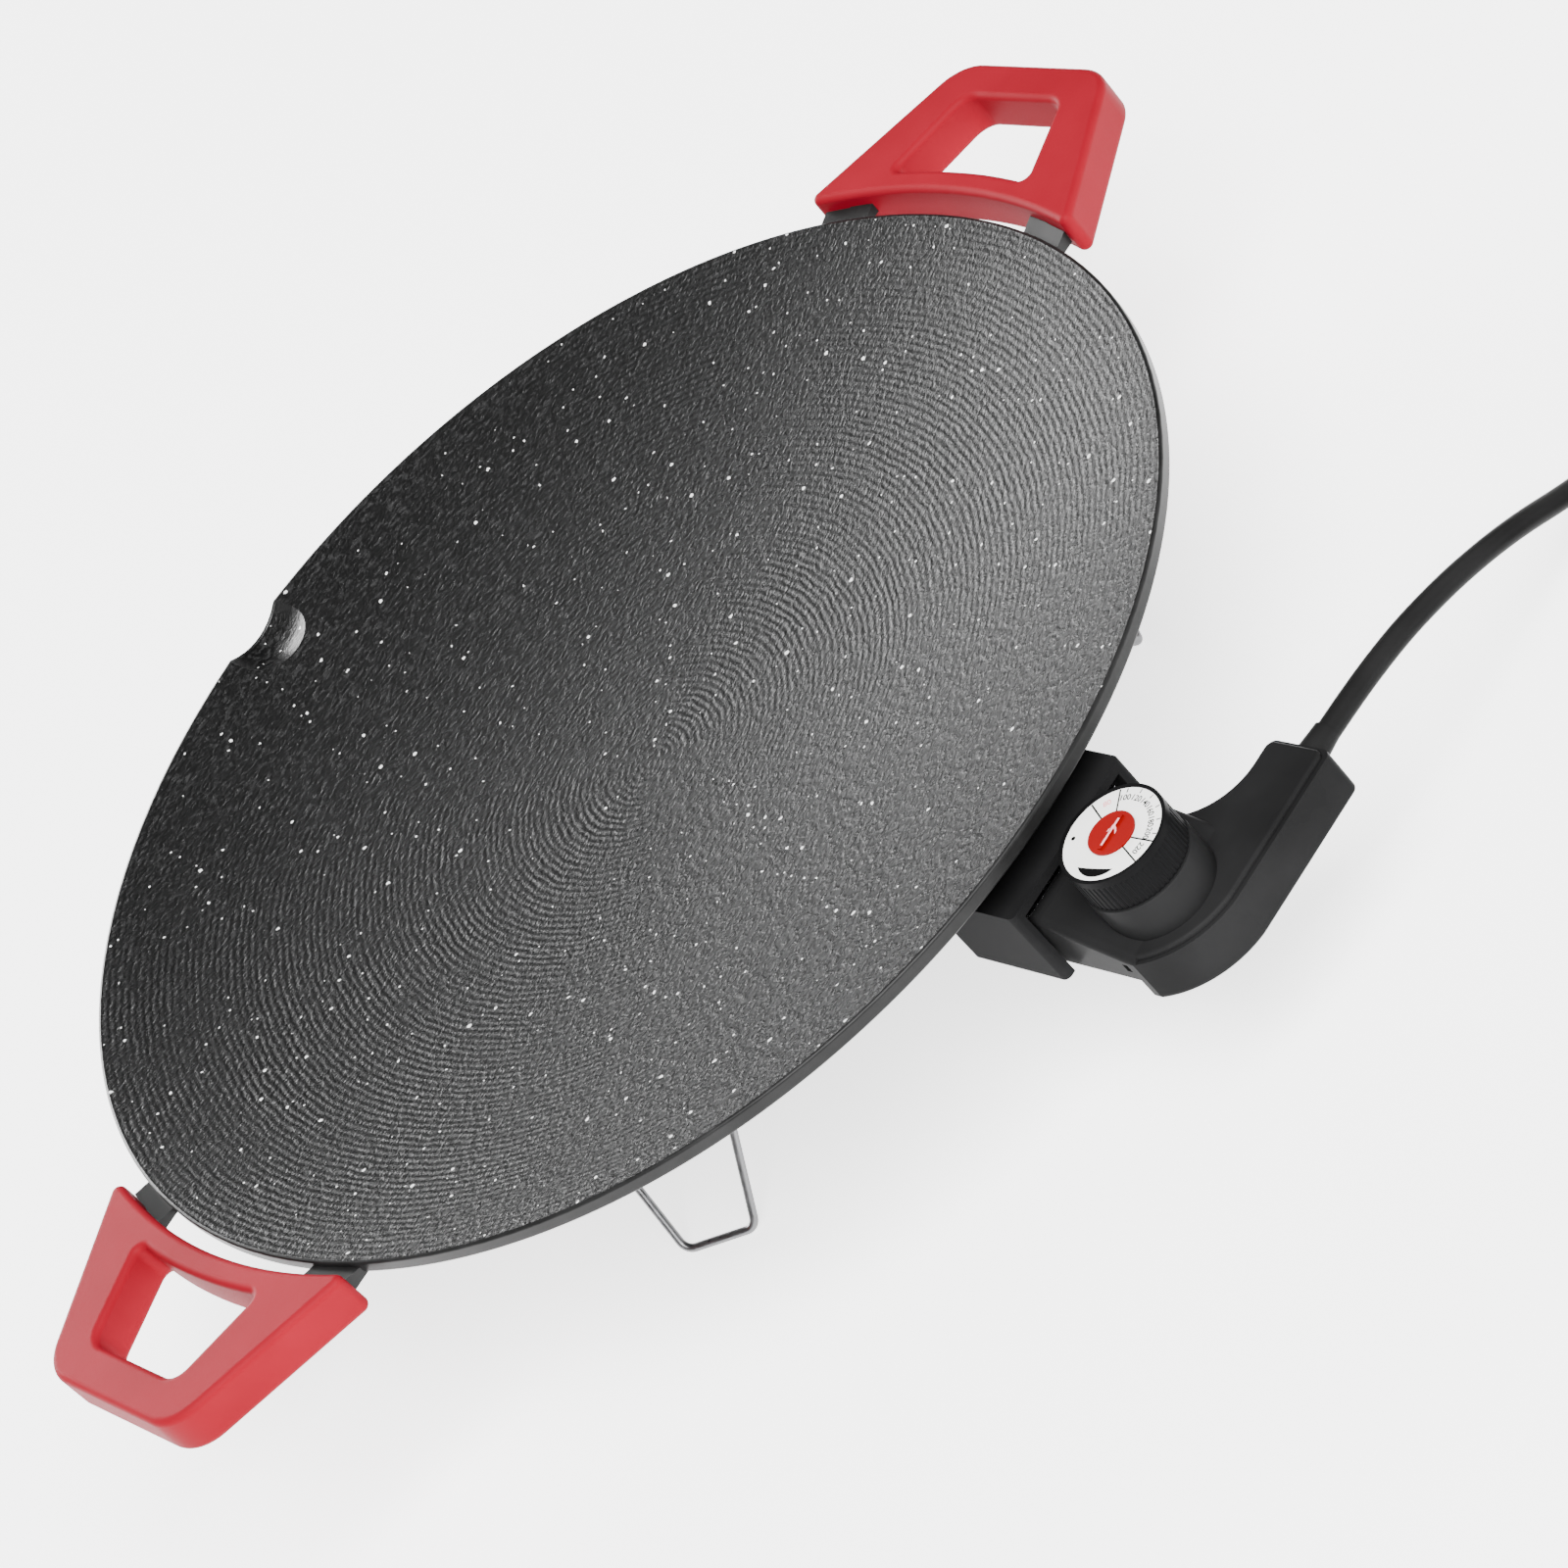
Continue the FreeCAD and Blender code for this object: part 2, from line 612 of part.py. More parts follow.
def handle():
    """The right handle: a loop with its inner side round the rim, pocketed for the tangs."""
    root, tip = cell.handle_root, cell.handle_tip
    blank = prism("handle_blank",
                  [(cell.handle_start, -root), (cell.handle_end, -tip),
                   (cell.handle_end, tip), (cell.handle_start, root)],
                  cell.handle_low, cell.handle_high)

    def corner_at(far):
        far = float(far)
        return lambda edge: upright(edge) and abs(edge.BoundBox.XMax - far) < 1e-3
    blank = rounded("handle_corners", blank, cell.handle_corner, corner_at(cell.handle_end))
    bar = cell.handle_end - cell.handle_bar
    hole = prism("handle_hole",
                 [(cell.grip_start, -cell.grip_root), (bar, -cell.grip_tip),
                  (bar, cell.grip_tip), (cell.grip_start, cell.grip_root)],
                 cell.handle_low - OVER, cell.handle_high + OVER)
    hole = rounded("handle_hole_corners", hole, cell.grip_corner, corner_at(bar))
    rail = rod("handle_rail", cell.handle_inner + cell.handle_rail, BLANK_LONG,
               (0, 0, BLANK_LOW))
    inner = rod("handle_inner_face", cell.handle_inner, BLANK_LONG, (0, 0, BLANK_LOW))
    loop = cut("handle_loop", blank, inner, cut("handle_opening", hole, rail))
    nose_limit = float(cell.handle_inner + cell.handle_rail)

    def nose(edge):
        return upright(edge) and edge.BoundBox.XMax < nose_limit + 2
    loop = rounded("handle_noses", loop, cell.handle_nose, nose)
    top, bottom = level_at(cell.handle_high), level_at(cell.handle_low)
    loop = rounded("handle_soft", loop, cell.handle_edge,
                   lambda edge: top(edge) or bottom(edge))
    tools = []
    for end, name in ENDS:
        at = (cell.handle_screw_x, end * cell.handle_screw_y, cell.handle_low)
        tools.append(tang_box(f"tang_pocket_{name}", 1, end, SLIDE))
        tools.append(rod(f"handle_screw_seat_{name}", HANDLE_SCREW.head_radius + SCREW_ROOM,
                         HEAD_SUNK + HANDLE_SCREW.head_high, at))
        tools.append(rod(f"handle_screw_way_{name}", HANDLE_SCREW.shank_radius + SLIDE,
                         cell.lug_high - cell.handle_low, at))
    return cut("handle_right_solid", loop, *tools)


right_handle = node(handle(), "right_handle")
left_handle = doc.addObject("Part::Mirroring", "handle_left_solid")
left_handle.Source = right_handle
left_handle.Normal = Vector(1, 0, 0)
node(left_handle, "left_handle")

# ---------------------------------------------------------------- folding wire legs
def leg_point(across, out, fall):
    """A point of the leg: across the hinge, out from it, and below it."""
    return Vector(float(cell.hinge_radius) + out, across, float(cell.hinge_level) - fall)


def leg_wire():
    """Two pivots that point inwards, two splayed runs, and the foot between them."""
    spread = float(cell.foot_radius) - float(cell.hinge_radius)
    fall = float(cell.hinge_level) - float(cell.wire_radius)
    half, foot = float(cell.hinge_half), float(cell.foot_half)
    end = float(cell.pivot_end)
    points = [leg_point(-end, 0, 0), leg_point(-half, 0, 0), leg_point(-foot, spread, fall),
              leg_point(foot, spread, fall), leg_point(half, 0, 0), leg_point(end, 0, 0)]
    bend = float(cell.leg_bend)
    pivot_bend = bend - float(cell.wire_radius) * 0.8
    return bent_path(points, [pivot_bend, bend, bend, pivot_bend])


def leg_bracket(label, angle):
    """A folded strap: a web, two pierced ears, and two tabs that stop the open leg."""
    centre = cell.hinge_radius
    web_low = cell.pad_low - cell.sheet_thick
    web_top = cell.pad_low
    ear_far = cell.ear_near + cell.sheet_thick
    pieces = [box(f"{label}_web", (centre - cell.web_back, -ear_far, web_low),
                  (centre + cell.stop_near, ear_far, web_top), turn=angle)]
    tools = []
    for side, name in SIDES:
        name = f"{label}_{name}"

        def flange(kind, x_near, x_far, y_far, low):
            """A flat piece beside the web, from the ear's inner face outwards."""
            y_low, y_high = (cell.ear_near, y_far) if side > 0 else (-y_far, -cell.ear_near)
            return box(f"{name}_{kind}", (centre + x_near, y_low, low),
                       (centre + x_far, y_high, web_top), turn=angle)
        pieces.append(flange("ear", -cell.ear_reach, cell.ear_reach, ear_far,
                             cell.hinge_level - cell.ear_drop))
        pieces.append(flange("shelf", cell.shelf_near, cell.stop_far, cell.stop_end, web_low))
        pieces.append(flange("stop", cell.stop_near, cell.stop_far, cell.stop_end,
                             web_low - cell.stop_deep))
        eye_start = side * (cell.ear_near + cell.sheet_thick / 2) - 3 * cell.sheet_thick
        tools.append(rod(f"{name}_eye", cell.wire_radius + SLIDE, 6 * cell.sheet_thick,
                         (centre, eye_start, cell.hinge_level), "+y", turn=angle))
        tools.append(rod(f"{name}_way", STRAP_SCREW.shank_radius,
                         cell.sheet_thick + 2 * OVER,
                         (centre, side * cell.strap_screw, web_low - OVER), turn=angle))
    return cut(f"{label}_bracket_solid", fuse(f"{label}_bracket_strap", *pieces), *tools)


leg_tube = tube(leg_wire(), cell.wire_radius)
for label, angle in LEG_ANGLES.items():
    leg = shaped(f"{label}_leg_solid", leg_tube)
    leg.Placement = Placement(Vector(), Rotation(Vector(0, 0, 1), angle))
    node(leg, f"{label}_leg")
    node(leg_bracket(label, angle), f"{label}_leg_bracket")

# ---------------------------------------------------------------- the socket under the plate
def socket_ways(name, low_y, high_y, slack):
    """Ways through the back of the socket for the heater ends and the probe."""
    ways = [rod(f"{name}_way_{side_name}", cell.heater_tube + slack, high_y - low_y,
                (side * cell.pin_spacing / 2, low_y, cell.pin_level), "+y")
            for side, side_name in SIDES]
    ways.append(rod(f"{name}_probe_way", cell.probe_bore + 0.5, high_y - low_y,
                    (0, low_y, cell.probe_level), "+y"))
    return ways


def hood():
    """An open-mouthed box under the rim, hung from two bosses by its rear tabs."""
    half = cell.hood_half
    front = -cell.plate_radius
    rear = -cell.hood_rear
    shell = box("hood_block", (-half, front, cell.hood_low), (half, rear, cell.hood_high))
    shell = rounded("hood_corners", shell, cell.hood_corner, upright)
    recess = box("hood_recess", (cell.hood_wall - half, front - OVER, cell.hood_low - OVER),
                 (half - cell.hood_wall, rear - cell.hood_back, cell.hood_high - cell.hood_roof))
    tabs = []
    for side, name in SIDES:
        low, high = (cell.tab_near, half) if side > 0 else (-half, -cell.tab_near)
        tab = box(f"hood_tab_{name}", (low, rear - OVER, cell.tab_low),
                  (high, -cell.tab_rear, cell.tab_high))
        way = rod(f"hood_tab_way_{name}", HOOD_SCREW.shank_radius,
                  cell.tab_high - cell.tab_low + 2 * OVER,
                  (side * cell.hood_screw_x, -cell.hood_screw_y, cell.tab_low - OVER))
        tabs.append(cut(f"hood_tab_bored_{name}", tab, way))
    ways = socket_ways("hood", rear - cell.hood_back - OVER, rear + OVER, 0.2)
    return cut("hood_solid", fuse("hood_form", shell, *tabs), recess, *ways)


node(hood(), "socket_hood")
back_face = -cell.hood_rear - cell.hood_back
liner = box("terminal_plate_blank",
            (cell.liner_edge - cell.hood_half, back_face - cell.liner_thick,
             cell.hood_low + cell.liner_edge),
            (cell.hood_half - cell.liner_edge, back_face, cell.hood_high - cell.liner_edge))
node(cut("terminal_plate_solid", liner,
         *socket_ways("terminal_plate", back_face - cell.liner_thick - OVER,
                      back_face + OVER, SLIDE)), "terminal_plate")


# ---------------------------------------------------------------- controller casing
def case_prism(name, inset, mouth, low, high):
    """The casing's plan raised: neck, bowed front corner, side grip and hollow behind it."""
    neck = cell.neck_half - inset
    front = as_size(inset) - cell.grip_front
    end = cell.grip_end - inset
    rear = -cell.grip_rear - inset
    bow = cell.case_arc - inset
    hollow = -(cell.case_hollow + inset)
    return prism(name, [(-neck, -cell.bow_start, bow), (cell.bow_end, front), (end, front),
                        (end, rear), (cell.neck_half + cell.case_hollow, rear, hollow),
                        (neck, cell.case_hollow - cell.grip_rear), (neck, -mouth),
                        (-neck, -mouth)], low, high)


def grip_corners(name, shape, inset):
    """The two upright corners at the grip's end, rounded for the hand."""
    end = float(cell.grip_end - inset)

    def at_end(edge):
        bounds = edge.BoundBox
        return upright(edge) and abs(bounds.XMin - end) < 1e-3
    return rounded(name, shape, cell.case_corner, at_end)


def apron_prism(name, inset, low, high):
    """The deeper front part of the casing, below the neck."""
    neck = cell.neck_half - inset
    front = as_size(inset) - cell.grip_front
    end = cell.grip_end - inset
    rear = -cell.grip_rear - inset
    return prism(name, [(-neck, -cell.bow_start, cell.case_arc - inset),
                        (cell.bow_end, front), (end, front), (end, rear), (-neck, rear)],
                 low, high)


# each casing screw: where it stands and the face its head is sunk in
CASE_SCREWS = {
    "side": (27.5, -221.2, cell.grip_low),
    "front": (19.0, -231.0, cell.grip_low),
    "neck": (-16.5, -212.0, cell.neck_low),
}
CASE_EDGE = 1.6          # rounding under the grip
LID_EDGE = 0.9           # rounding round the lid
ROOF_EDGE = 2.6          # rounding along the sloping roof
POST_GAP = 0.4           # between a post of the lid and the floor
LATCH = (-215.6, -213.6, 51.5, 54.5)
wall = cell.case_wall
cord_way = rod("case_cord_way", cell.cord_radius + cell.relief_wall + 0.5, 12,
               (cell.grip_end - 8, -cell.cord_y, cell.cord_level), "+x")


def lower_case():
    mouth = cell.neck_mouth
    tray = fuse("case_tray",
                case_prism("case_tray_upper", 0, mouth, cell.neck_low, cell.case_split),
                apron_prism("case_tray_apron", 0, cell.grip_low, cell.neck_low))
    tray = grip_corners("case_tray_corners", tray, 0)
    tray = rounded("case_tray_soft", tray, CASE_EDGE, level_at(cell.grip_low))
    room = fuse("case_room",
                case_prism("case_room_upper", wall, mouth - 6, cell.neck_low + wall,
                           cell.case_split + OVER),
                apron_prism("case_room_apron", wall, cell.grip_low + wall,
                            cell.neck_low + wall + OVER))
    tools = [room, cord_way]
    for label, (x, y, low) in CASE_SCREWS.items():
        tools.append(rod(f"case_screw_way_{label}", CASE_SCREW.shank_radius + 0.5, 6,
                         (x, y, low - OVER)))
        tools.append(rod(f"case_screw_seat_{label}", CASE_SCREW.head_radius + SCREW_ROOM,
                         cell.seat_deep, (x, y, low)))
    near, far, low, high = LATCH
    tools.append(box("latch_notch", (-cell.neck_half - OVER, near, low),
                     (0.8 - cell.neck_half, far, high)))
    return cut("lower_case_solid", tray, *tools)


def wedge(name, inset, low, mouth):
    """The sloping roof of the neck, from the socket down to the front corner."""
    top = cell.neck_high - inset
    front = -cell.roof_front
    shape = side_prism(name, [(front, low), (mouth, low), (mouth, top),
                              (-cell.roof_break, top - 0.3),
                              (front, cell.grip_high - inset - 0.2)],
                       cell.neck_half - inset)

    def along_slope(edge):
        bounds = edge.BoundBox
        if not isinstance(edge.Curve, Part.Line) or bounds.XLength > 1e-3:
            return False
        return bounds.YLength > 3 and bounds.ZMax > float(low) + 1.5
    return rounded(name + "_soft", shape, ROOF_EDGE, along_slope)


def upper_case():
    split = cell.case_split
    axis = (0, -cell.dial_y)
    lid = case_prism("case_lid", cell.case_inset, cell.neck_mouth + OVER, split, cell.grip_high)
    lid = grip_corners("case_lid_corners", lid, cell.case_inset)
    lid = rounded("case_lid_soft", lid, LID_EDGE, level_at(cell.grip_high))
    turret = rod("case_turret", cell.turret_radius, cell.turret_high - split, (*axis, split))
    roof = wedge("case_roof", 0, split, -cell.neck_mouth)
    tools = [
        wedge("case_roof_room", wall, split - OVER, OVER - cell.neck_mouth),
        rod("case_turret_room", cell.turret_radius - cell.turret_wall,
            cell.turret_high - split - wall, (*axis, split - OVER)),
        rod("spindle_way", cell.spindle_radius + SLIDE, BLANK_LONG, (*axis, BLANK_LOW)),
    ]
    shell = cut("upper_case_shell", fuse("case_top_form", lid, turret, roof), *tools)
    posts, pilots = [], []
    for label, (x, y, low) in CASE_SCREWS.items():
        foot = low + wall + POST_GAP
        # the neck's roof is higher than the lid, so its post is longer above the split
        head = split + (2.8 if label == "neck" else OVER)
        posts.append(rod(f"case_post_{label}", cell.post_radius, head - foot, (x, y, foot)))
        pilots.append(rod(f"case_pilot_{label}", cell.pilot_radius, CASE_SCREW.shank_long,
                          (x, y, low + wall)))
    return cut("upper_case_solid", fuse("upper_case_posted", shell, *posts), *pilots)


node(lower_case(), "lower_case")
node(upper_case(), "upper_case")
case_screws = [screw(f"case_screw_{label}", CASE_SCREW, (x, y, low + 0.1))
               for label, (x, y, low) in CASE_SCREWS.items()]
node(group("case_screw_set", case_screws), "case_screws")

# ---------------------------------------------------------------- inside the neck
block = box("terminal_block_form", (-cell.block_half, -cell.block_front, cell.block_low),
            (cell.block_half, -cell.block_rear, cell.block_high))
probe_way = rod("block_probe_way", cell.probe_radius + 0.1, BLANK_LONG,
                (0, -cell.grip_rear, cell.probe_level), "+y")
node(cut("terminal_block_solid", block, *sleeve_bores, probe_way), "terminal_block")


def shield_box(name, gap, front, rear):
    """A box round the terminal block at a gap from it."""
    return box(name, (-cell.block_half - gap, -front, cell.block_low - gap),
               (cell.block_half + gap, -rear, cell.block_high + gap))


outer_gap = cell.shield_gap + cell.shield_thick
shield = cut("shield_solid",
             shield_box("shield_outer", outer_gap, cell.shield_front, cell.shield_rear),
             shield_box("shield_inner", cell.shield_gap, cell.shield_front + OVER,
                        cell.shield_rear - OVER),
             box("shield_case_gap",
                 (-cell.hood_half, -cell.shield_front - OVER, cell.hood_low),
                 (cell.hood_half, SLIDE - cell.neck_mouth, cell.block_high + 0.6)))
node(shield, "contact_shield")
node(rod("probe_rod_solid", cell.probe_radius, cell.probe_end - cell.probe_tip,
         (0, -cell.probe_end, cell.probe_level), "+y"), "probe_rod")

# ---------------------------------------------------------------- thermostat under the dial
half, sheet_thick = cell.stat_half, cell.stat_sheet
stat_front, stat_rear = -cell.stat_front, -cell.stat_rear
frame = fuse("stat_frame_form",
             box("stat_base", (-half, stat_front, cell.stat_low),
                 (half, stat_rear, cell.stat_low + sheet_thick)),
             box("stat_wall", (-half, stat_rear - sheet_thick, cell.stat_low),
                 (half, stat_rear, cell.stat_high)),
             box("stat_roof", (-half, stat_front + 3, cell.stat_high - sheet_thick),
                 (half, stat_rear, cell.stat_high)))
frame = cut("stat_frame_solid", frame,
            rod("stat_probe_way", cell.probe_radius, 10,
                (0, -cell.probe_end - 4, cell.probe_level), "+y"),
            rod("stat_spindle_way", cell.spindle_radius + SLIDE, 6,
                (0, -cell.dial_y, cell.stat_high - 3)))
node(frame, "thermostat_frame")
node(box("stat_stack", (-cell.stack_half, -cell.stack_front, cell.stat_low + sheet_thick),
         (cell.stack_half, -cell.stack_rear, cell.stack_high)), "ceramic_stack")


def contact_strip(name, rear, low, button_low, button_high):
    """A leaf that runs back from the ceramic, with a contact button on one face."""
    strip = box(f"{name}_strip", (-cell.blade_half, -cell.stack_rear, low),
                (cell.blade_half, -rear, low + cell.blade_thick))
    button = rod(f"{name}_button", cell.contact_radius, button_high - button_low,
                 (0, -cell.contact_y, button_low))
    return fuse(f"{name}_form", strip, button)


fixed_top = cell.fixed_low + cell.blade_thick
node(contact_strip("moving", cell.blade_rear, cell.blade_low, cell.blade_low - 0.5,
                   cell.blade_low), "contact_blade")
node(contact_strip("fixed", cell.fixed_rear, cell.fixed_low, fixed_top, fixed_top + 0.6),
     "fixed_contact")

# ---------------------------------------------------------------- the dial
nose_long = 0.4
spindle = fuse("spindle_form",
               rod("spindle_shaft", cell.spindle_radius, cell.spindle_high - cell.spindle_low,
                   (0, -cell.dial_y, cell.spindle_low)),
               rod("spindle_nose", cell.blade_half / 2, nose_long,
                   (0, -cell.dial_y, cell.spindle_low - nose_long)))
node(spindle, "dial_spindle")
FLUTES = 60              # grip flutes round the knob
FLUTE_OUT = 0.45         # how far a flute's centre lies outside the knob
FLUTE_TOP = 2.4          # plain band above the flutes


def knob():
    """A pad with a seat for the face, a bore for the spindle, and flutes round it."""
    body = doc.addObject("PartDesign::Body", "knob_body")
    base = next(f for f in body.Origin.OriginFeatures if f.Role == "XY_Plane")
    axis = next(f for f in body.Origin.OriginFeatures if f.Role == "Z_Axis")

    def disc_sketch(name, radius, level, at_x=0.0):
        sketch = body.newObject("Sketcher::SketchObject", name)
        sketch.AttachmentSupport = [(base, "")]
        sketch.MapMode = "FlatFace"
        sketch.AttachmentOffset = Placement(Vector(0, 0, float(level)), Rotation())
        centre = Vector(at_x, 0, 0)
        sketch.addGeometry(Part.Circle(centre, Vector(0, 0, 1), float(radius)), False)
        tie = sketch.addConstraint(Sketcher.Constraint("Radius", 0, float(radius)))
        sketch.setExpression(f"Constraints[{tie}]", as_size(radius).text)
        if at_x:
            sketch.addConstraint(Sketcher.Constraint("DistanceX", -1, 1, 0, 3, at_x))
            sketch.addConstraint(Sketcher.Constraint("PointOnObject", 0, 3, -1))
        else:
            sketch.addConstraint(Sketcher.Constraint("Coincident", -1, 1, 0, 3))
        return sketch

    high = cell.dial_high - cell.dial_low
    pad = body.newObject("PartDesign::Pad", "knob_pad")
    pad.Profile = disc_sketch("knob_disc", cell.dial_radius, 0)
    pad.setExpression("Length", high.text)
    doc.recompute()
    volume = pad.Shape.Volume
    bore_top = cell.spindle_high - cell.dial_low
    pockets = (("knob_face_seat", cell.dial_radius - cell.dial_lip, high, cell.dial_seat),
               ("knob_bore", cell.spindle_radius, bore_top, bore_top + OVER))
    for name, radius, level, deep in pockets:
        pocket = body.newObject("PartDesign::Pocket", name)
        pocket.Profile = disc_sketch(name + "_disc", radius, level)
        pocket.setExpression("Length", deep.text)
        doc.recompute()
        if pocket.Shape.Volume > volume - 1:
            raise RuntimeError(f"{name} cut nothing")
        volume = pocket.Shape.Volume
    flute = body.newObject("PartDesign::Pocket", "knob_flute")
    flute.Profile = disc_sketch("knob_flute_disc", cell.flute_radius, high - FLUTE_TOP,
                                float(cell.dial_radius) + FLUTE_OUT)
    flute.setExpression("Length", (high + OVER).text)
    doc.recompute()
    pattern = body.newObject("PartDesign::PolarPattern", "knob_flutes")
    pattern.Originals = [flute]
    pattern.Axis = (axis, [""])
    pattern.Angle = 360
    pattern.Occurrences = FLUTES
    body.Tip = pattern
    body.setExpression("Placement.Base.y", (-cell.dial_y).text)
    body.setExpression("Placement.Base.z", cell.dial_low.text)
    return body


node(knob(), "dial_knob")
face_low = cell.dial_high - cell.dial_seat
face_top = face_low + cell.face_thick
cap_top = face_top + cell.cap_thick
node(rod("dial_face_disc", cell.dial_radius - cell.dial_lip - 0.05, cell.face_thick,
         (0, -cell.dial_y, face_low)), "dial_face")
cap = rod("dial_cap_disc", cell.cap_radius, cell.cap_thick, (0, -cell.dial_y, face_top))
pointer_side = cell.pointer_width / 2
pointer = box("dial_pointer",
              (-cell.pointer_half, -cell.dial_y - pointer_side, cap_top - 0.1),
              (cell.pointer_half, pointer_side - cell.dial_y, cap_top + cell.pointer_thick - 0.1))
node(fuse("dial_cap_solid", cap, pointer), "dial_cap")

# ---------------------------------------------------------------- mains lead
exit_y, exit_level = -cell.cord_y, cell.cord_level
relief_radius = cell.cord_radius + cell.relief_wall
flange_start = cell.grip_end - cell.case_wall - 3
relief = fuse("relief_form",
              rod("relief_inner", relief_radius, cell.grip_end - cell.relief_start,
                  (cell.relief_start, exit_y, exit_level), "+x"),
              rod("relief_flange", cell.cord_radius + cell.flange_wall, 2,
                  (flange_start, exit_y, exit_level), "+x"),
              taper("relief_tail", relief_radius, cell.cord_radius + cell.relief_tip,
                    cell.relief_end - cell.grip_end,
                    (cell.grip_end, exit_y, exit_level), "+x"))
relief_bore = rod("relief_bore", cell.cord_radius, BLANK_LONG,
                  (cell.relief_start - OVER, exit_y, exit_level), "+x")
node(cut("relief_solid", relief, relief_bore), "strain_relief")

CORD_ROUTE = [
    (30, -226, 49.5), (60, -226, 49.4), (90, -225.9, 47.4), (113, -225.3, 42.0),
    (132, -223.6, 34.6), (148, -221.6, 26.6), (163, -219.4, 17.6), (178, -216.8, 9.2),
    (192, -215.0, 4.6), (204, -214.6, 3.4),
]
TAIL_ROUTE = [(202, -289.4, 10.2), (192, -289.7, 10.3), (181, -289.3, 10.1), (171, -289.4, 10)]
BEND_SHARE = 0.45        # of the shorter run at a corner, taken up by its arc


def largest_bends(points):
    """Each corner's arc is as large as its two runs allow."""
    points = [vec(p) for p in points]
    bends = []
    for before, corner, after in zip(points, points[1:], points[2:]):
        back, ahead = before.sub(corner), after.sub(corner)
        turn = math.pi - back.getAngle(ahead)
        bends.append(BEND_SHARE * min(back.Length, ahead.Length) / math.tan(turn / 2))
    return bends


def cord_tube(name, route):
    path = bent_path(route, largest_bends(route))
    solid = tube(path, cell.cord_radius)
    section = math.pi * float(cell.cord_radius) ** 2
    print(name, "length", round(path.Length, 1), "volume ratio",
          round(solid.Volume / (section * path.Length), 4))
    return shaped(name, solid)


node(cord_tube("mains_cord_solid", CORD_ROUTE), "mains_cord")
node(cord_tube("cord_tail_solid", TAIL_ROUTE), "cord_tail")

coil_in = cell.coil_mean - 2 * cell.cord_radius
coil_out = cell.coil_mean + 2 * cell.cord_radius
coil_high = 4 * cell.cord_radius
node(cut("coil_solid",
         rod("coil_outer", coil_out, coil_high, (cell.coil_x, -cell.coil_y, 0)),
         rod("coil_hole", coil_in, coil_high + 2 * OVER, (cell.coil_x, -cell.coil_y, -OVER))),
     "cord_coil")


def tie_box(name, thick, half, low):
    """A box round the coil's bundle of turns, on its left side."""
    return box(name, (cell.coil_x - coil_out - 0.1 - thick, -cell.coil_y - half, low),
               (cell.coil_x - coil_in + 0.1 + thick, half - cell.coil_y,
                coil_high + 0.1 + thick))


node(cut("tie_solid", tie_box("tie_outer", cell.tie_thick, cell.tie_half, 0.05),
         tie_box("tie_inner", as_size(0), cell.tie_half + OVER, cell.tie_thick + 0.05)),
     "cord_tie")

floor = cell.grip_low + cell.case_wall
clamp_inside = cell.clamp_half - cell.clamp_leg
node(cut("clamp_bridge",
         box("clamp_outer", (cell.clamp_start, exit_y - cell.clamp_half, floor),
             (cell.relief_start, exit_y + cell.clamp_half, cell.clamp_high)),
         box("clamp_inner", (cell.clamp_start - OVER, exit_y - clamp_inside, floor - OVER),
             (cell.relief_start + OVER, exit_y + clamp_inside,
              cell.clamp_high - cell.clamp_top))), "cord_clamp")

# ---------------------------------------------------------------- mains plug
plug_y = -cell.tail_y
plug_rear = cell.plug_front + cell.plug_long
collar_start = plug_rear + cell.step_long - OVER
boot_start = collar_start + cell.collar_long


def along_x(edge):
    """True for the long edges of a block that lies along X."""
    return edge.BoundBox.XLength > 5


def plug():
    """The moulded body: a flat front block, a stepped block, a collar and a boot."""
    main = box("plug_main", (cell.plug_front, plug_y - cell.plug_half, 0),
               (plug_rear, plug_y + cell.plug_half, cell.plug_high))
    main = rounded("plug_main_corners", main, cell.plug_corner, upright)
    top, bottom = level_at(cell.plug_high), level_at(0)
    main = rounded("plug_main_soft", main, cell.plug_soft,
                   lambda edge: top(edge) or bottom(edge))
    step = box("plug_step", (plug_rear - 2 * OVER, plug_y - cell.step_half, cell.step_low),
               (plug_rear + cell.step_long, plug_y + cell.step_half, cell.step_high))
    step = rounded("plug_step_soft", step, 2.5, along_x)
    collar = box("plug_collar", (collar_start, plug_y - cell.collar_half, cell.collar_low),
                 (boot_start, plug_y + cell.collar_half, cell.collar_high))
    collar = rounded("plug_collar_soft", collar, 4, along_x)
    boot = taper("plug_boot", cell.boot_radius, cell.cord_radius + cell.boot_tip,
                 cell.boot_long, (boot_start, plug_y, cell.tail_level), "+x")
    way = rod("plug_cord_way", cell.cord_radius, 20,
              (boot_start + cell.boot_long - 2, plug_y, cell.tail_level), "+x")
    pocket = box("plug_face_pocket",
                 (cell.plug_front + 1.5, plug_y - 3.6, cell.plug_high - 2.5),
                 (cell.plug_front + 8, plug_y + 3.6, cell.plug_high + OVER))
    ways = [blade_box(f"plug_blade_way_{name}", side) for side, name in SIDES]
    ways.append(earth_root("plug_earth_way"))
    return cut("plug_solid", fuse("plug_form", main, step, collar, boot), way, pocket, *ways)


def blade_box(name, side):
    """One flat blade, from its root inside the body to its tip."""
    x = cell.plug_front + cell.blade_x
    y = plug_y + side * cell.blade_offset
    return box(name, (x, y - cell.blade_depth, cell.plug_high - cell.blade_root),
               (x + cell.blade_wide, y + cell.blade_depth, cell.plug_high + cell.blade_long))


def earth_root(name):
    return rod(name, cell.earth_root, cell.blade_root + 0.5,
               (cell.plug_front + cell.earth_x, plug_y, cell.plug_high - cell.blade_root))


node(plug(), "plug_body")
blade_tip = float(cell.plug_high + cell.blade_long)


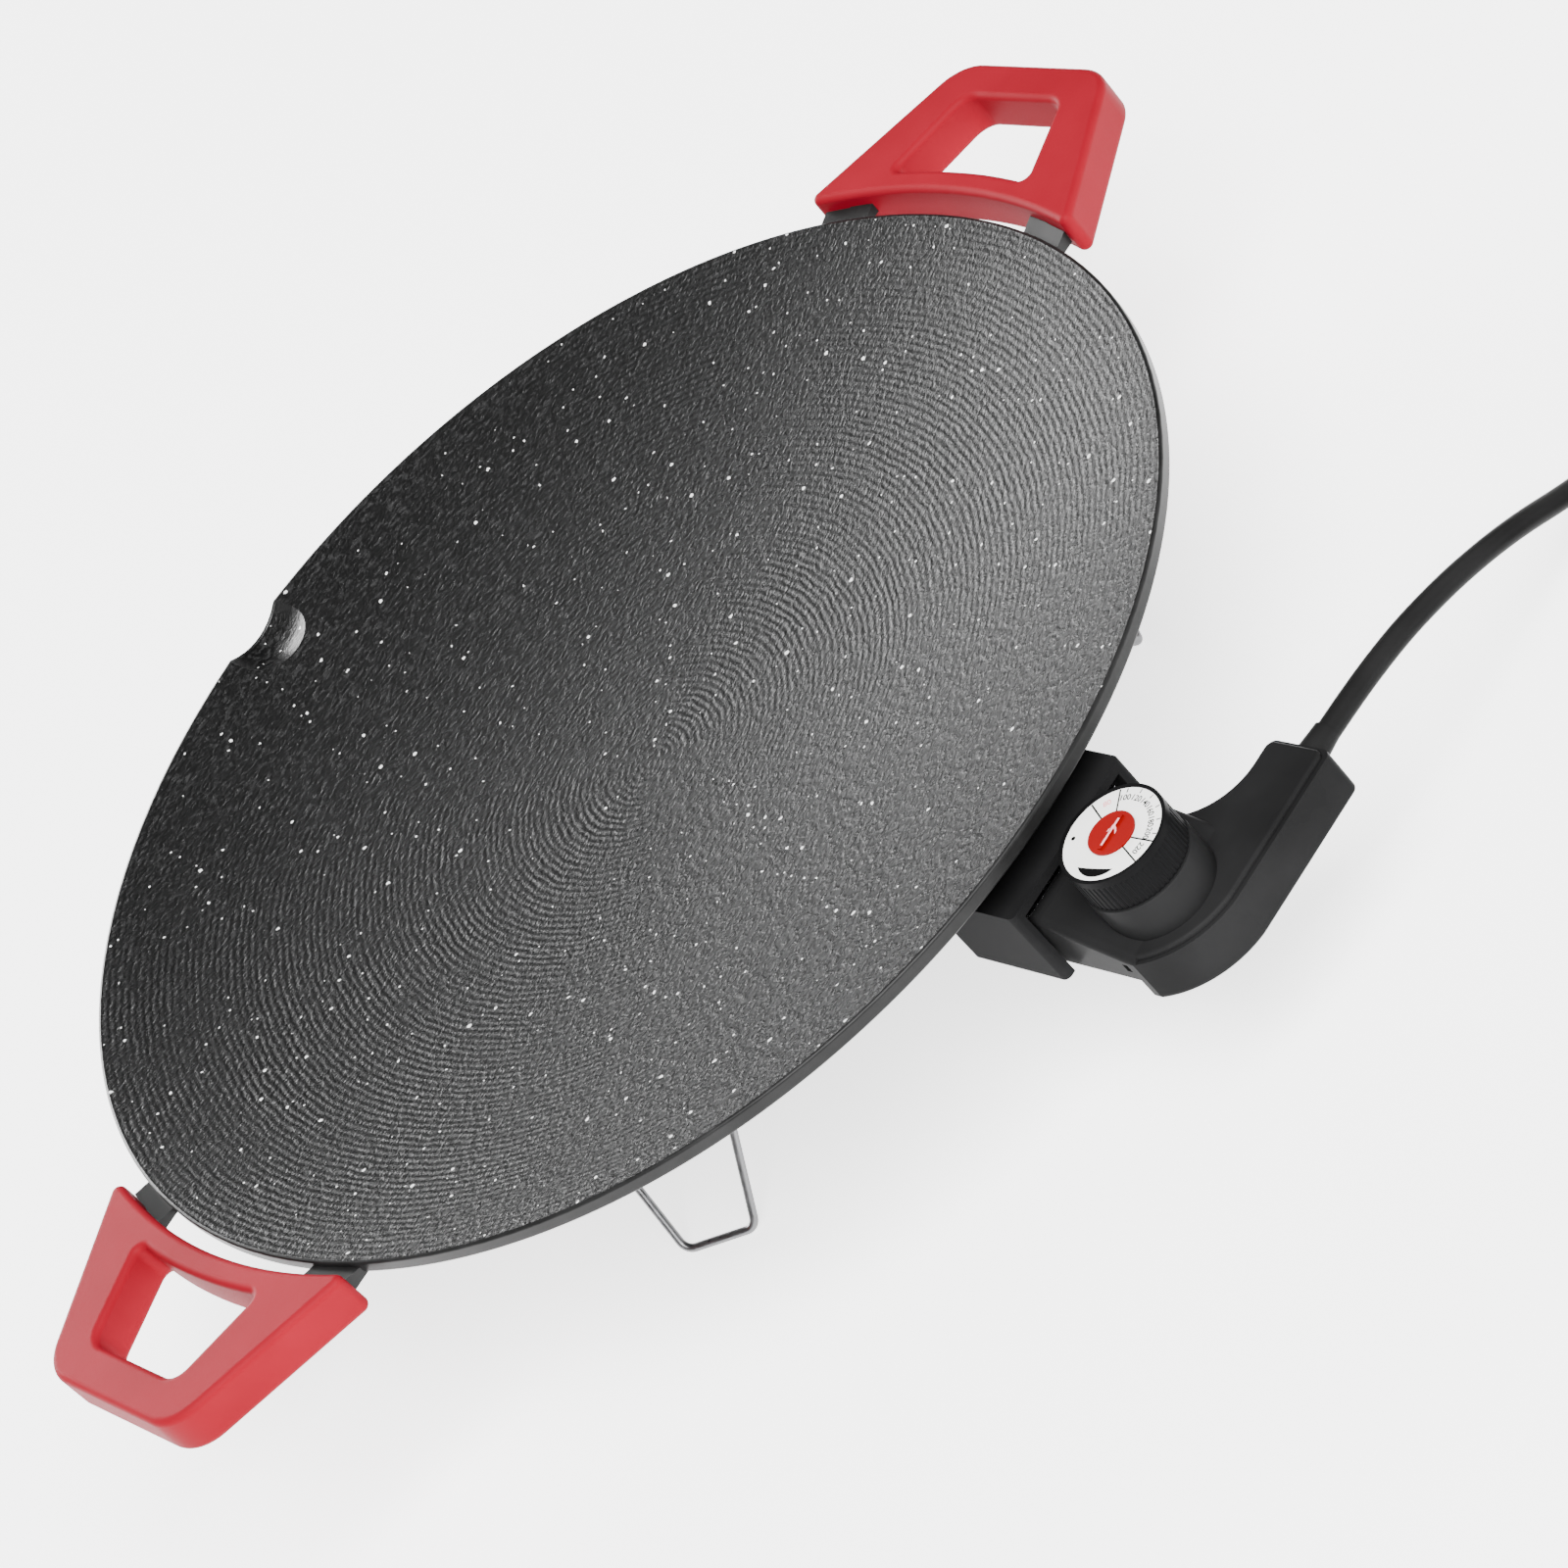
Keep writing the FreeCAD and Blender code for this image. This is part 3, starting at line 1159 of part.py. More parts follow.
def tip_corner(edge):
    bounds = edge.BoundBox
    return bounds.YLength > 1 and bounds.ZMin > blade_tip - 1e-3 and bounds.XLength < 1e-3


plug_blades = [rounded(f"plug_blade_soft_{name}", blade_box(f"plug_blade_{name}", side), 1.8,
                       tip_corner) for side, name in SIDES]
node(group("plug_blade_pair", plug_blades), "plug_blades")
earth = rod("earth_pin_rod", cell.earth_radius, cell.earth_long,
            (cell.plug_front + cell.earth_x, plug_y, cell.plug_high))
earth = rounded("earth_pin_tip", earth, 2.2, level_at(cell.plug_high + cell.earth_long))
node(fuse("earth_pin_solid", earth, earth_root("earth_pin_root")), "plug_ground_pin")

# ---------------------------------------------------------------- check and write
doc.recompute()
for obj in doc.Objects:
    if any(word in ("Invalid", "Error") for word in obj.State):
        raise RuntimeError(f"{obj.Name} failed: {obj.State}")
os.makedirs("parts", exist_ok=True)
for obj in EVERY_NODE:
    shape = obj.Shape
    if shape.isNull() or not shape.isValid():
        raise RuntimeError(f"{obj.Label} has no valid shape")
    shape.exportStep(f"parts/{obj.Label}.step")
    bounds = shape.BoundBox
    print(f"{obj.Label:20s} solids {len(shape.Solids)}  volume {shape.Volume:10.1f}  "
          f"x {bounds.XMin:.1f}..{bounds.XMax:.1f}  y {bounds.YMin:.1f}..{bounds.YMax:.1f}  "
          f"z {bounds.ZMin:.2f}..{bounds.ZMax:.2f}")
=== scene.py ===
import math

import bpy
from mathutils import Matrix, Quaternion, Vector


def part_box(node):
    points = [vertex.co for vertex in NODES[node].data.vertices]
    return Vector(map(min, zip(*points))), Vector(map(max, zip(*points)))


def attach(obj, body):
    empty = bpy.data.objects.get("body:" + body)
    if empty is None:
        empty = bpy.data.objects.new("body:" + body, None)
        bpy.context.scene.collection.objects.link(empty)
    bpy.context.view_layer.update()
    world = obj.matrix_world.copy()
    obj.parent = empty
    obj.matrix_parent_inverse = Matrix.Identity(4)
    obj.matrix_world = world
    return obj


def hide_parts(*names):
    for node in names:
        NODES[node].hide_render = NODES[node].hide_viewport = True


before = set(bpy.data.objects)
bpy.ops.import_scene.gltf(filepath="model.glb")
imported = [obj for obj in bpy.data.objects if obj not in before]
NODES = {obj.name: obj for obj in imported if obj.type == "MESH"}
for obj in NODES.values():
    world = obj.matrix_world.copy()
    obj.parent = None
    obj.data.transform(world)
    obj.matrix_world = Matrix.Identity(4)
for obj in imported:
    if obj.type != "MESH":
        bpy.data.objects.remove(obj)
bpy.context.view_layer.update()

MM = 0.001
PLATE_RIM_LEVEL = 88 * MM
knob_low, knob_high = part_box("dial_knob")
_, face_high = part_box("dial_face")
coil_low, coil_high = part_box("cord_coil")
DIAL = (knob_low + knob_high) / 2     # the dial's axis, as far as x and y go


# ---------------------------------------------------------------- camera
AZIMUTH, ELEVATION, ROLL = math.radians(19.49), math.radians(32.9), math.radians(-44.31)
DISTANCE = 1.389


def make_camera():
    """A long lens from in front and above, rolled: the level object leans up to the right."""
    data = bpy.data.cameras.new("camera")
    data.lens = 109.4
    data.sensor_width = 36
    data.shift_x, data.shift_y = 0.1170, -0.0484
    data.clip_end = 50
    camera = bpy.data.objects.new("camera", data)
    bpy.context.scene.collection.objects.link(camera)
    back = Vector((-math.sin(AZIMUTH) * math.cos(ELEVATION),
                   -math.cos(AZIMUTH) * math.cos(ELEVATION), math.sin(ELEVATION)))
    camera.location = Vector((0, 0, PLATE_RIM_LEVEL)) + back * DISTANCE
    camera.rotation_mode = "QUATERNION"
    camera.rotation_quaternion = ((-back).to_track_quat("-Z", "Y")
                                  @ Quaternion((0, 0, 1), ROLL))
    bpy.context.scene.camera = camera


make_camera()


# ---------------------------------------------------------------- node helpers
class Nodes:
    """A material's node tree, with short calls for the nodes used here."""

    def __init__(self, name):
        self.material = bpy.data.materials.new(name)
        self.material.use_nodes = True
        self.tree = self.material.node_tree
        self.shader = self.tree.nodes["Principled BSDF"]

    def add(self, kind, **values):
        node = self.tree.nodes.new("ShaderNode" + kind)
        for name, value in values.items():
            setattr(node, name, value)
        return node

    def link(self, source, target):
        self.tree.links.new(source, target)

    def place(self):
        return self.add("TexCoord").outputs["Object"]

    def parts(self, vector):
        """The x, y and z of a vector."""
        split = self.add("SeparateXYZ")
        self.link(vector, split.inputs["Vector"])
        return split.outputs

    def times(self, a, b):
        return self.math("MULTIPLY", a, b)

    def length(self, x, y):
        return self.math("SQRT", self.math("ADD", self.times(x, x), self.times(y, y)))

    def feed(self, target, value):
        if isinstance(value, (int, float, tuple, list)):
            target.default_value = value
        else:
            self.link(value, target)

    def math(self, operation, a, b=0.0, c=0.0, clamp=False):
        node = self.add("Math", operation=operation, use_clamp=clamp)
        for socket, value in zip(node.inputs, (a, b, c)):
            self.feed(socket, value)
        return node.outputs[0]

    def noise(self, scale, detail=2.0, roughness=0.5, vector=None, distortion=0.0):
        node = self.add("TexNoise")
        node.inputs["Scale"].default_value = scale
        node.inputs["Detail"].default_value = detail
        node.inputs["Roughness"].default_value = roughness
        node.inputs["Distortion"].default_value = distortion
        self.link(vector or self.place(), node.inputs["Vector"])
        return node.outputs["Fac"]

    def ramp(self, value, *stops):
        node = self.add("ValToRGB")
        elements = node.color_ramp.elements
        while len(elements) < len(stops):
            elements.new(0.5)
        for element, (place, colour) in zip(elements, stops):
            element.position = place
            element.color = (*colour, 1) if len(colour) == 3 else colour
        self.link(value, node.inputs["Fac"])
        return node.outputs["Color"]

    def span(self, value, low, high, to_low, to_high):
        node = self.add("MapRange")
        for name, number in (("From Min", low), ("From Max", high),
                             ("To Min", to_low), ("To Max", to_high)):
            node.inputs[name].default_value = number
        self.link(value, node.inputs["Value"])
        return node.outputs["Result"]

    def mix(self, share, a, b, blend="MIX"):
        node = self.add("Mix", data_type="RGBA", blend_type=blend)
        self.feed(node.inputs["Factor"], share)
        for socket, value in ((node.inputs[6], a), (node.inputs[7], b)):
            self.feed(socket, (*value, 1) if isinstance(value, tuple) else value)
        return node.outputs[2]

    def bump(self, height, strength, distance, under=None):
        node = self.add("Bump")
        node.inputs["Strength"].default_value = strength
        node.inputs["Distance"].default_value = distance
        self.link(height, node.inputs["Height"])
        if under:
            self.link(under, node.inputs["Normal"])
        return node.outputs["Normal"]

    def set(self, **values):
        for name, value in values.items():
            socket = self.shader.inputs[name.replace("_", " ")]
            self.feed(socket, value)


# ---------------------------------------------------------------- plain materials
def moulded(name, colour, roughness=0.38, grain=900.0, depth=0.15, spread=0.25, gloss=0.3):
    """Moulded plastic: fine spark-eroded grain, slightly uneven tone and gloss."""
    made = Nodes(name)
    cloud = made.noise(28, 4)
    fine = made.noise(grain, 3, 0.6)
    lift = tuple(min(1, channel * (1 + spread)) for channel in colour)
    drop = tuple(channel * (1 - spread) for channel in colour)
    tone = made.ramp(cloud, (0.3, drop), (0.7, lift))
    made.set(Base_Color=tone,
             Roughness=made.span(cloud, 0.25, 0.75, roughness - 0.04, roughness + 0.06),
             Normal=made.bump(fine, depth, 0.12 * MM), Specular_IOR_Level=gloss)
    return made.material


def metal(name, colour, roughness=0.28, brushed=(1, 1, 1), streak=700.0, depth=0.12):
    """Metal with faint drawn or rolled marks along one way."""
    made = Nodes(name)
    mapping = made.add("Mapping")
    mapping.inputs["Scale"].default_value = brushed
    made.link(made.place(), mapping.inputs["Vector"])
    marks = made.noise(streak, 4, 0.6, mapping.outputs["Vector"])
    cloud = made.noise(60, 3)
    tone = made.ramp(cloud, (0.3, tuple(c * 0.82 for c in colour)), (0.7, colour))
    made.set(Base_Color=tone, Metallic=1.0,
             Roughness=made.span(marks, 0.3, 0.7, roughness - 0.08, roughness + 0.1),
             Normal=made.bump(marks, depth, 0.05 * MM))
    return made.material


# ---------------------------------------------------------------- the stone coating
RING_PITCH = 2.3 * MM
DISH_EDGE = 188.9 * MM       # outside this radius the rim is plain
DISH_LEVEL = 60 * MM         # below this level is the underside
STROKE_TURN = math.radians(-57)
CHIP_COLOUR = (0.75, 0.75, 0.74)


def speck_layer(made, flat, scale, gate, size):
    """Round-ish chips: a share of the cells of a cell texture holds one, each of its own size."""
    cells = made.add("TexVoronoi")
    cells.voronoi_dimensions = "2D"
    cells.inputs["Scale"].default_value = scale
    cells.inputs["Randomness"].default_value = 1.0
    made.link(flat, cells.inputs["Vector"])
    split = made.add("SeparateColor")
    made.link(cells.outputs["Color"], split.inputs["Color"])
    chosen = made.math("GREATER_THAN", split.outputs[0], 1 - gate)
    wanted = made.span(split.outputs[1], 0, 1, size * 0.45, size)
    inside = made.math("LESS_THAN", cells.outputs["Distance"], made.times(wanted, scale))
    return made.times(chosen, inside)


def chips(made, place):
    """Two sizes of pale chip, their outlines roughened by a fine warp."""
    smear = made.add("TexNoise")
    smear.inputs["Scale"].default_value = 900
    made.link(place, smear.inputs["Vector"])
    shrink = made.add("VectorMath", operation="SCALE")
    shrink.inputs["Scale"].default_value = 1.2 * MM
    made.link(smear.outputs["Color"], shrink.inputs[0])
    warp = made.add("VectorMath", operation="ADD")
    made.link(place, warp.inputs[0])
    made.link(shrink.outputs[0], warp.inputs[1])
    flat = warp.outputs[0]
    return made.math("MAXIMUM", speck_layer(made, flat, 112, 0.15, 0.70 * MM),
                     speck_layer(made, flat, 150, 0.16, 0.40 * MM))


def turned_rings(made, x, out):
    """Wavering rings, patchy, that show most in the two sectors towards the handles."""
    wobble = made.noise(22, 3)
    fine_wobble = made.noise(160, 2)
    turns = made.math("ADD", made.times(out, 1 / RING_PITCH),
                      made.math("ADD", wobble, made.times(fine_wobble, 0.8)))
    ring = made.math("SINE", made.times(turns, 2 * math.pi))
    patches = made.span(made.noise(30, 3), 0.36, 0.62, 0.45, 1.0)
    sideways = made.math("DIVIDE", made.math("ABSOLUTE", x), made.math("ADD", out, MM))
    sector = made.span(sideways, 0.2, 0.95, 0.3, 1.0)
    return made.times(made.times(ring, patches), sector)


def stone_coating():
    """Pebbled stone coating with turned rings and pale chips on the cooking face; the rim,
    the scoop, the lugs and the underside are smoother and plainer."""
    made = Nodes("stone_coating")
    coordinates = made.add("TexCoord")
    place = coordinates.outputs["Object"]
    x, y, z = made.parts(place)
    facing = made.parts(coordinates.outputs["Normal"])[2]
    out = made.length(x, y)
    upward = made.span(facing, 0.75, 0.9, 0.0, 1.0)
    within = made.span(out, DISH_EDGE, DISH_EDGE + 0.5 * MM, 1.0, 0.0)
    above = made.span(z, DISH_LEVEL, DISH_LEVEL + MM, 0.0, 1.0)
    dish = made.times(made.times(upward, within), above)

    rings = turned_rings(made, x, out)
    drawn = made.add("Mapping")
    drawn.inputs["Rotation"].default_value = (0, 0, -STROKE_TURN)
    drawn.inputs["Scale"].default_value = (0.5, 1, 1)
    made.link(place, drawn.inputs["Vector"])
    pebble = made.noise(760, 2.5, 0.6, drawn.outputs["Vector"], 0.4)
    grit = made.noise(1500, 2)
    ground = made.math("ADD", pebble, made.times(grit, 0.2))
    relief = made.times(made.math("ADD", ground, made.times(rings, 0.13)),
                        made.span(dish, 0, 1, 0.04, 1.0))

    tone = made.ramp(ground, (0.42, (0.0003, 0.0003, 0.0003)), (0.6, (0.002, 0.002, 0.00203)),
                     (0.78, (0.018, 0.018, 0.0182)))
    # painted shade and painted light: the coating's colour is darkened along the ring grooves and
    # lightened along the ridges, in step with the ring relief
    ring_shaded_tone = made.mix(1.0, tone, made.span(rings, -1, 1, 0.4, 1.6), "MULTIPLY")
    cloud = made.span(made.noise(7, 3), 0.3, 0.7, 0.8, 1.2)
    ring_shaded_tone = made.mix(1.0, ring_shaded_tone, cloud, "MULTIPLY")
    plain = made.ramp(made.noise(90, 3), (0.3, (0.005, 0.005, 0.005)),
                      (0.7, (0.011, 0.011, 0.011)))
    colour = made.mix(made.times(chips(made, place), dish), made.mix(dish, plain, ring_shaded_tone),
                      CHIP_COLOUR)
    rough_dish = made.span(pebble, 0.35, 0.65, 0.36, 0.24)
    rough_plain = made.span(dish, 0, 1, 0.36, 0.0)
    made.set(Base_Color=colour,
             Roughness=made.math("ADD", made.times(rough_dish, dish), rough_plain),
             Specular_IOR_Level=0.15, Normal=made.bump(relief, 0.4, 0.55 * MM))
    return made.material


# ---------------------------------------------------------------- grips and lead
def red_grip():
    made = Nodes("red_grip")
    fine = made.noise(1400, 3, 0.6)
    cloud = made.noise(22, 3)
    tone = made.ramp(cloud, (0.3, (0.17, 0.0028, 0.0085)), (0.72, (0.215, 0.005, 0.0135)))
    made.set(Base_Color=tone, Roughness=made.span(fine, 0.3, 0.7, 0.46, 0.56),
             Specular_IOR_Level=0.04, Normal=made.bump(fine, 0.22, 0.12 * MM))
    return made.material


def cord_rubber():
    made = Nodes("cord_rubber")
    cloud = made.noise(35, 3)
    fine = made.noise(1100, 2)
    tone = made.ramp(cloud, (0.3, (0.007, 0.007, 0.007)), (0.7, (0.012, 0.012, 0.012)))
    made.set(Base_Color=tone, Roughness=made.span(cloud, 0.3, 0.7, 0.30, 0.40),
             Specular_IOR_Level=0.02, Normal=made.bump(fine, 0.1, 0.08 * MM))
    return made.material


# ---------------------------------------------------------------- the dial's print
# where the dividing lines stand, in degrees round the dial's axis from +X
DIVIDERS = (62, 27, -88, -115)
SCALE_START, SCALE_END, SCALE_STEPS = 27, -88, 6
SCALE_ANGLE = (SCALE_END - SCALE_START) / SCALE_STEPS
LINE_START, LINE_END, LINE_HALF = 7.0 * MM, 14.7 * MM, 0.24 * MM
TICK_START, TICK_END, TICK_HALF = 13.3 * MM, 14.6 * MM, 0.18 * MM
CRESCENT_MIDDLE, CRESCENT_HALF = math.radians(-171), math.radians(29)
CRESCENT_RADIUS, CRESCENT_WIDTH = 12.3 * MM, 1.3 * MM
DOT_TURN, DOT_RADIUS, DOT_SIZE = math.radians(108), 12.4 * MM, 0.65 * MM
INK_BLACK = (0.0005, 0.0005, 0.0005)


def radial_line(made, x, y, degrees, start, end, half_width):
    """A printed line along a ray from the dial's axis."""
    turn = math.radians(degrees)
    across = made.math("ABSOLUTE", made.math("SUBTRACT", made.times(y, math.cos(turn)),
                                             made.times(x, math.sin(turn))))
    along = made.math("ADD", made.times(x, math.cos(turn)), made.times(y, math.sin(turn)))
    between = made.times(made.math("GREATER_THAN", along, start),
                         made.math("LESS_THAN", along, end))
    return made.times(made.math("LESS_THAN", across, half_width), between)


def crescent(made, x, y):
    """The off range: widest in the middle of its span and run out at both ends."""
    swing = made.math("SUBTRACT", made.math("ARCTAN2", y, x), CRESCENT_MIDDLE)
    share = made.math("DIVIDE", made.math("WRAP", swing, math.pi, -math.pi), CRESCENT_HALF)
    width = made.times(made.math("SUBTRACT", 1.0, made.times(share, share)), CRESCENT_WIDTH)
    off_middle = made.math("SUBTRACT", made.length(x, y), CRESCENT_RADIUS)
    return made.math("LESS_THAN", made.math("ABSOLUTE", off_middle), width)


def dial_print():
    """The white scale: dividing lines, fine ticks, a dot and the crescent of the off range."""
    made = Nodes("dial_print")
    x, y, _ = made.parts(made.place())
    y = made.math("SUBTRACT", y, DIAL.y)
    marks = [radial_line(made, x, y, degrees, LINE_START, LINE_END, LINE_HALF)
             for degrees in DIVIDERS]
    marks += [radial_line(made, x, y, SCALE_START + SCALE_ANGLE * (step + 0.5),
                          TICK_START, TICK_END, TICK_HALF) for step in range(SCALE_STEPS)]
    marks.append(crescent(made, x, y))
    from_dot = made.length(made.math("SUBTRACT", x, DOT_RADIUS * math.cos(DOT_TURN)),
                           made.math("SUBTRACT", y, DOT_RADIUS * math.sin(DOT_TURN)))
    marks.append(made.math("LESS_THAN", from_dot, DOT_SIZE))
    ink = marks[0]
    for mark in marks[1:]:
        ink = made.math("MAXIMUM", ink, mark)
    paper = made.ramp(made.noise(40, 3), (0.3, (0.80, 0.80, 0.78)), (0.7, (0.88, 0.88, 0.86)))
    made.set(Base_Color=made.mix(ink, paper, INK_BLACK), Roughness=0.5,
             Specular_IOR_Level=0.03, Normal=made.bump(made.noise(1200, 2), 0.05, 0.05 * MM))
    return made.material


ARROW_HALF, ARROW_LONG = 0.34 * MM, 4.4 * MM
BARB_PLACE, BARB_HALF, BARB_REACH, BARB_SLOPE = 2.2 * MM, 0.45 * MM, 1.5 * MM, 1.3


def cap_print():
    """The dial's red centre with a pink arrow along its raised bar."""
    made = Nodes("dial_red")
    along, y, _ = made.parts(made.place())
    across = made.math("ABSOLUTE", made.math("SUBTRACT", y, DIAL.y))
    stem = made.times(made.math("LESS_THAN", across, ARROW_HALF),
                      made.math("LESS_THAN", made.math("ABSOLUTE", along), ARROW_LONG))
    # two barbs run back from the tip
    lag = made.math("SUBTRACT", made.math("ADD", along, made.times(across, BARB_SLOPE)),
                    BARB_PLACE)
    barb = made.times(made.math("LESS_THAN", made.math("ABSOLUTE", lag), BARB_HALF),
                      made.math("LESS_THAN", across, BARB_REACH))
    mark = made.math("MAXIMUM", stem, barb)
    tone = made.ramp(made.noise(60, 3), (0.3, (0.16, 0.0001, 0.0002)),
                     (0.7, (0.19, 0.0002, 0.0003)))
    made.set(Base_Color=made.mix(mark, tone, (0.80, 0.34, 0.36)), Roughness=0.4,
             Specular_IOR_Level=0.08, Normal=made.bump(made.noise(1200, 2), 0.03, 0.05 * MM))
    return made.material


# ---------------------------------------------------------------- what each node wears
MATERIALS = {
    "coating": stone_coating(),
    "red": red_grip(),
    "hood": moulded("hood_black", (0.010, 0.010, 0.0103), 0.5, 1000, 0.3, gloss=0.01),
    "case": moulded("case_black", (0.011, 0.011, 0.0112), 0.3, 1300, 0.12, gloss=0.012),
    "knob": moulded("knob_black", (0.004, 0.004, 0.0042), 0.36, 1300, 0.08, gloss=0.015),
    "white": dial_print(),
    "dial_red": cap_print(),
    "pink": moulded("pointer_pink", (0.80, 0.30, 0.32), 0.35, 1200, 0.03, 0.05),
    "ink": moulded("ink_black", INK_BLACK, 0.5, 1200, 0.02, 0.1, 0.02),
    "wire": metal("bright_wire", (0.20, 0.20, 0.205), 0.34, (1, 1, 0.15)),
    "bright": metal("bright_steel", (0.60, 0.60, 0.61), 0.2),
    "pressed": metal("pressed_steel", (0.36, 0.36, 0.37), 0.36, (0.2, 1, 1)),
    "screw": metal("screw_steel", (0.32, 0.32, 0.33), 0.32),
    "sheath": metal("heater_sheath", (0.10, 0.098, 0.095), 0.5),
    "brass": metal("contact_brass", (0.50, 0.34, 0.13), 0.3),
    "ceramic": moulded("steatite", (0.55, 0.52, 0.45), 0.3, 500, 0.1, 0.05),
    "bakelite": moulded("phenolic_brown", (0.030, 0.013, 0.008), 0.4, 700, 0.2, 0.3),
    "rubber": cord_rubber(),
    "plug": moulded("plug_moulding", (0.008, 0.020, 0.033), 0.42, 900, 0.3, 0.25, 0.04),
    "tie": moulded("tie_strap", (0.005, 0.005, 0.005), 0.5, 1200, 0.4, gloss=0.04),
}
LOOK = {
    "coating": ["griddle_plate"],
    "red": ["left_handle", "right_handle"],
    "hood": ["socket_hood"],
    "case": ["lower_case", "upper_case"],
    "knob": ["dial_knob"],
    "white": ["dial_face"],
    "dial_red": ["dial_cap"],
    "wire": ["left_leg", "right_leg", "rear_leg"],
    "bright": ["contact_shield", "probe_rod", "terminal_pins", "plug_blades", "plug_ground_pin"],
    "pressed": ["left_leg_bracket", "right_leg_bracket", "rear_leg_bracket", "terminal_plate",
                "thermostat_frame"],
    "screw": ["bracket_screws", "hood_screws", "handle_screws", "case_screws"],
    "sheath": ["heater_element"],
    "brass": ["terminal_sleeves", "dial_spindle", "contact_blade", "fixed_contact"],
    "ceramic": ["pin_insulators", "ceramic_stack"],
    "bakelite": ["terminal_block", "cord_clamp"],
    "rubber": ["strain_relief", "mains_cord", "cord_tail", "cord_coil"],
    "plug": ["plug_body"],
    "tie": ["cord_tie"],
}
for look, names in LOOK.items():
    for name in names:
        mesh = NODES[name].data
        mesh.materials.clear()
        mesh.materials.append(MATERIALS[look])


# ---------------------------------------------------------------- dial numerals
NUMBER_HEIGHT, NUMBER_RADIUS = 2.5 * MM, 11.6 * MM
PRINT_LEVEL = face_high.z + 0.015 * MM


def numeral(name, text, degrees, material):
    """A printed number: a thin flat mesh that reads outwards from the dial's centre."""
    letters = bpy.data.curves.new(name, "FONT")
    letters.body = text
    letters.size = NUMBER_HEIGHT
    letters.align_x = "CENTER"
    letters.align_y = "CENTER"
    letters.extrude = 0.01 * MM
    letters.offset = 0.035 * MM
    holder = bpy.data.objects.new(name + "_curve", letters)
    bpy.context.scene.collection.objects.link(holder)
    bpy.context.view_layer.update()
    mesh = bpy.data.meshes.new_from_object(holder)
    bpy.data.objects.remove(holder)
    turn = math.radians(degrees)
    spin = Matrix.Rotation(turn - math.pi / 2, 4, "Z")
    at = Vector((DIAL.x + NUMBER_RADIUS * math.cos(turn),
                 DIAL.y + NUMBER_RADIUS * math.sin(turn), PRINT_LEVEL))
    mesh.transform(Matrix.Translation(at) @ spin)
    mesh.name = name
    mesh.materials.clear()
    mesh.materials.append(MATERIALS[material])
    piece = bpy.data.objects.new(name, mesh)
    bpy.context.scene.collection.objects.link(piece)
    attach(piece, "dial")


for step in range(SCALE_STEPS):
    numeral(f"scale_number_{step + 1}", str(100 + 20 * step),
            SCALE_START + SCALE_ANGLE * (step + 0.5), "ink")
numeral("scale_number_0", "80", (DIVIDERS[0] + DIVIDERS[1]) / 2, "pink")
numeral("scale_number_7", "220", (DIVIDERS[2] + DIVIDERS[3]) / 2, "ink")


# ---------------------------------------------------------------- the mains lead
CORD_DIAMETER = 6.8 * MM
CORD_LEVEL = CORD_DIAMETER / 2
COIL_TURNS = 4
TURN_POINTS = 16
# where, in turns, the lead climbs from the lower pair of rings to the upper one
CLIMB_START, CLIMB_LONG = 1.7, 0.3
# the last share of a turn in which the lead moves to the next ring
SHIFT_START, SHIFT_LONG = 0.7, 0.3
FROM_CASING = ((30, -226, 49.5), (60, -226, 49.4), (90, -225.9, 47.4), (113, -225.3, 42.0),
               (132, -223.6, 34.6), (148, -221.6, 26.6), (163, -219.4, 17.6),
               (178, -216.8, 9.2), (192, -215.0, 4.6))
TO_PLUG = ((192, -289.7, 10.3), (181, -289.3, 10.1), (168, -289.4, 10))


def cord_points():
    """From the casing down to the table, round the coil, and out to the plug."""
    points = [Vector(point) * MM for point in FROM_CASING]
    centre = (coil_low + coil_high) / 2
    outer = (coil_high.x - coil_low.x) / 2 - CORD_LEVEL
    inner = outer - CORD_DIAMETER
    # the cord lies in two rings below, then the same two above
    radii = [outer, inner, inner, outer]
    steps = COIL_TURNS * TURN_POINTS + TURN_POINTS // 2
    for step in range(steps + 1):
        turn, share = divmod(step, TURN_POINTS)
        here = radii[min(turn, COIL_TURNS - 1)]
        ahead = radii[min(turn + 1, COIL_TURNS - 1)]
        blend = max(0.0, share / TURN_POINTS - SHIFT_START) / SHIFT_LONG
        radius = here + (ahead - here) * blend
        climbed = (step / TURN_POINTS - CLIMB_START) / CLIMB_LONG
        rise = CORD_DIAMETER * min(1.0, max(0.0, climbed))
        angle = math.pi / 2 - 2 * math.pi * step / TURN_POINTS
        points.append(Vector((centre.x + radius * math.cos(angle),
                              centre.y + radius * math.sin(angle), CORD_LEVEL + rise)))
    points += [Vector(point) * MM for point in TO_PLUG]
    return points


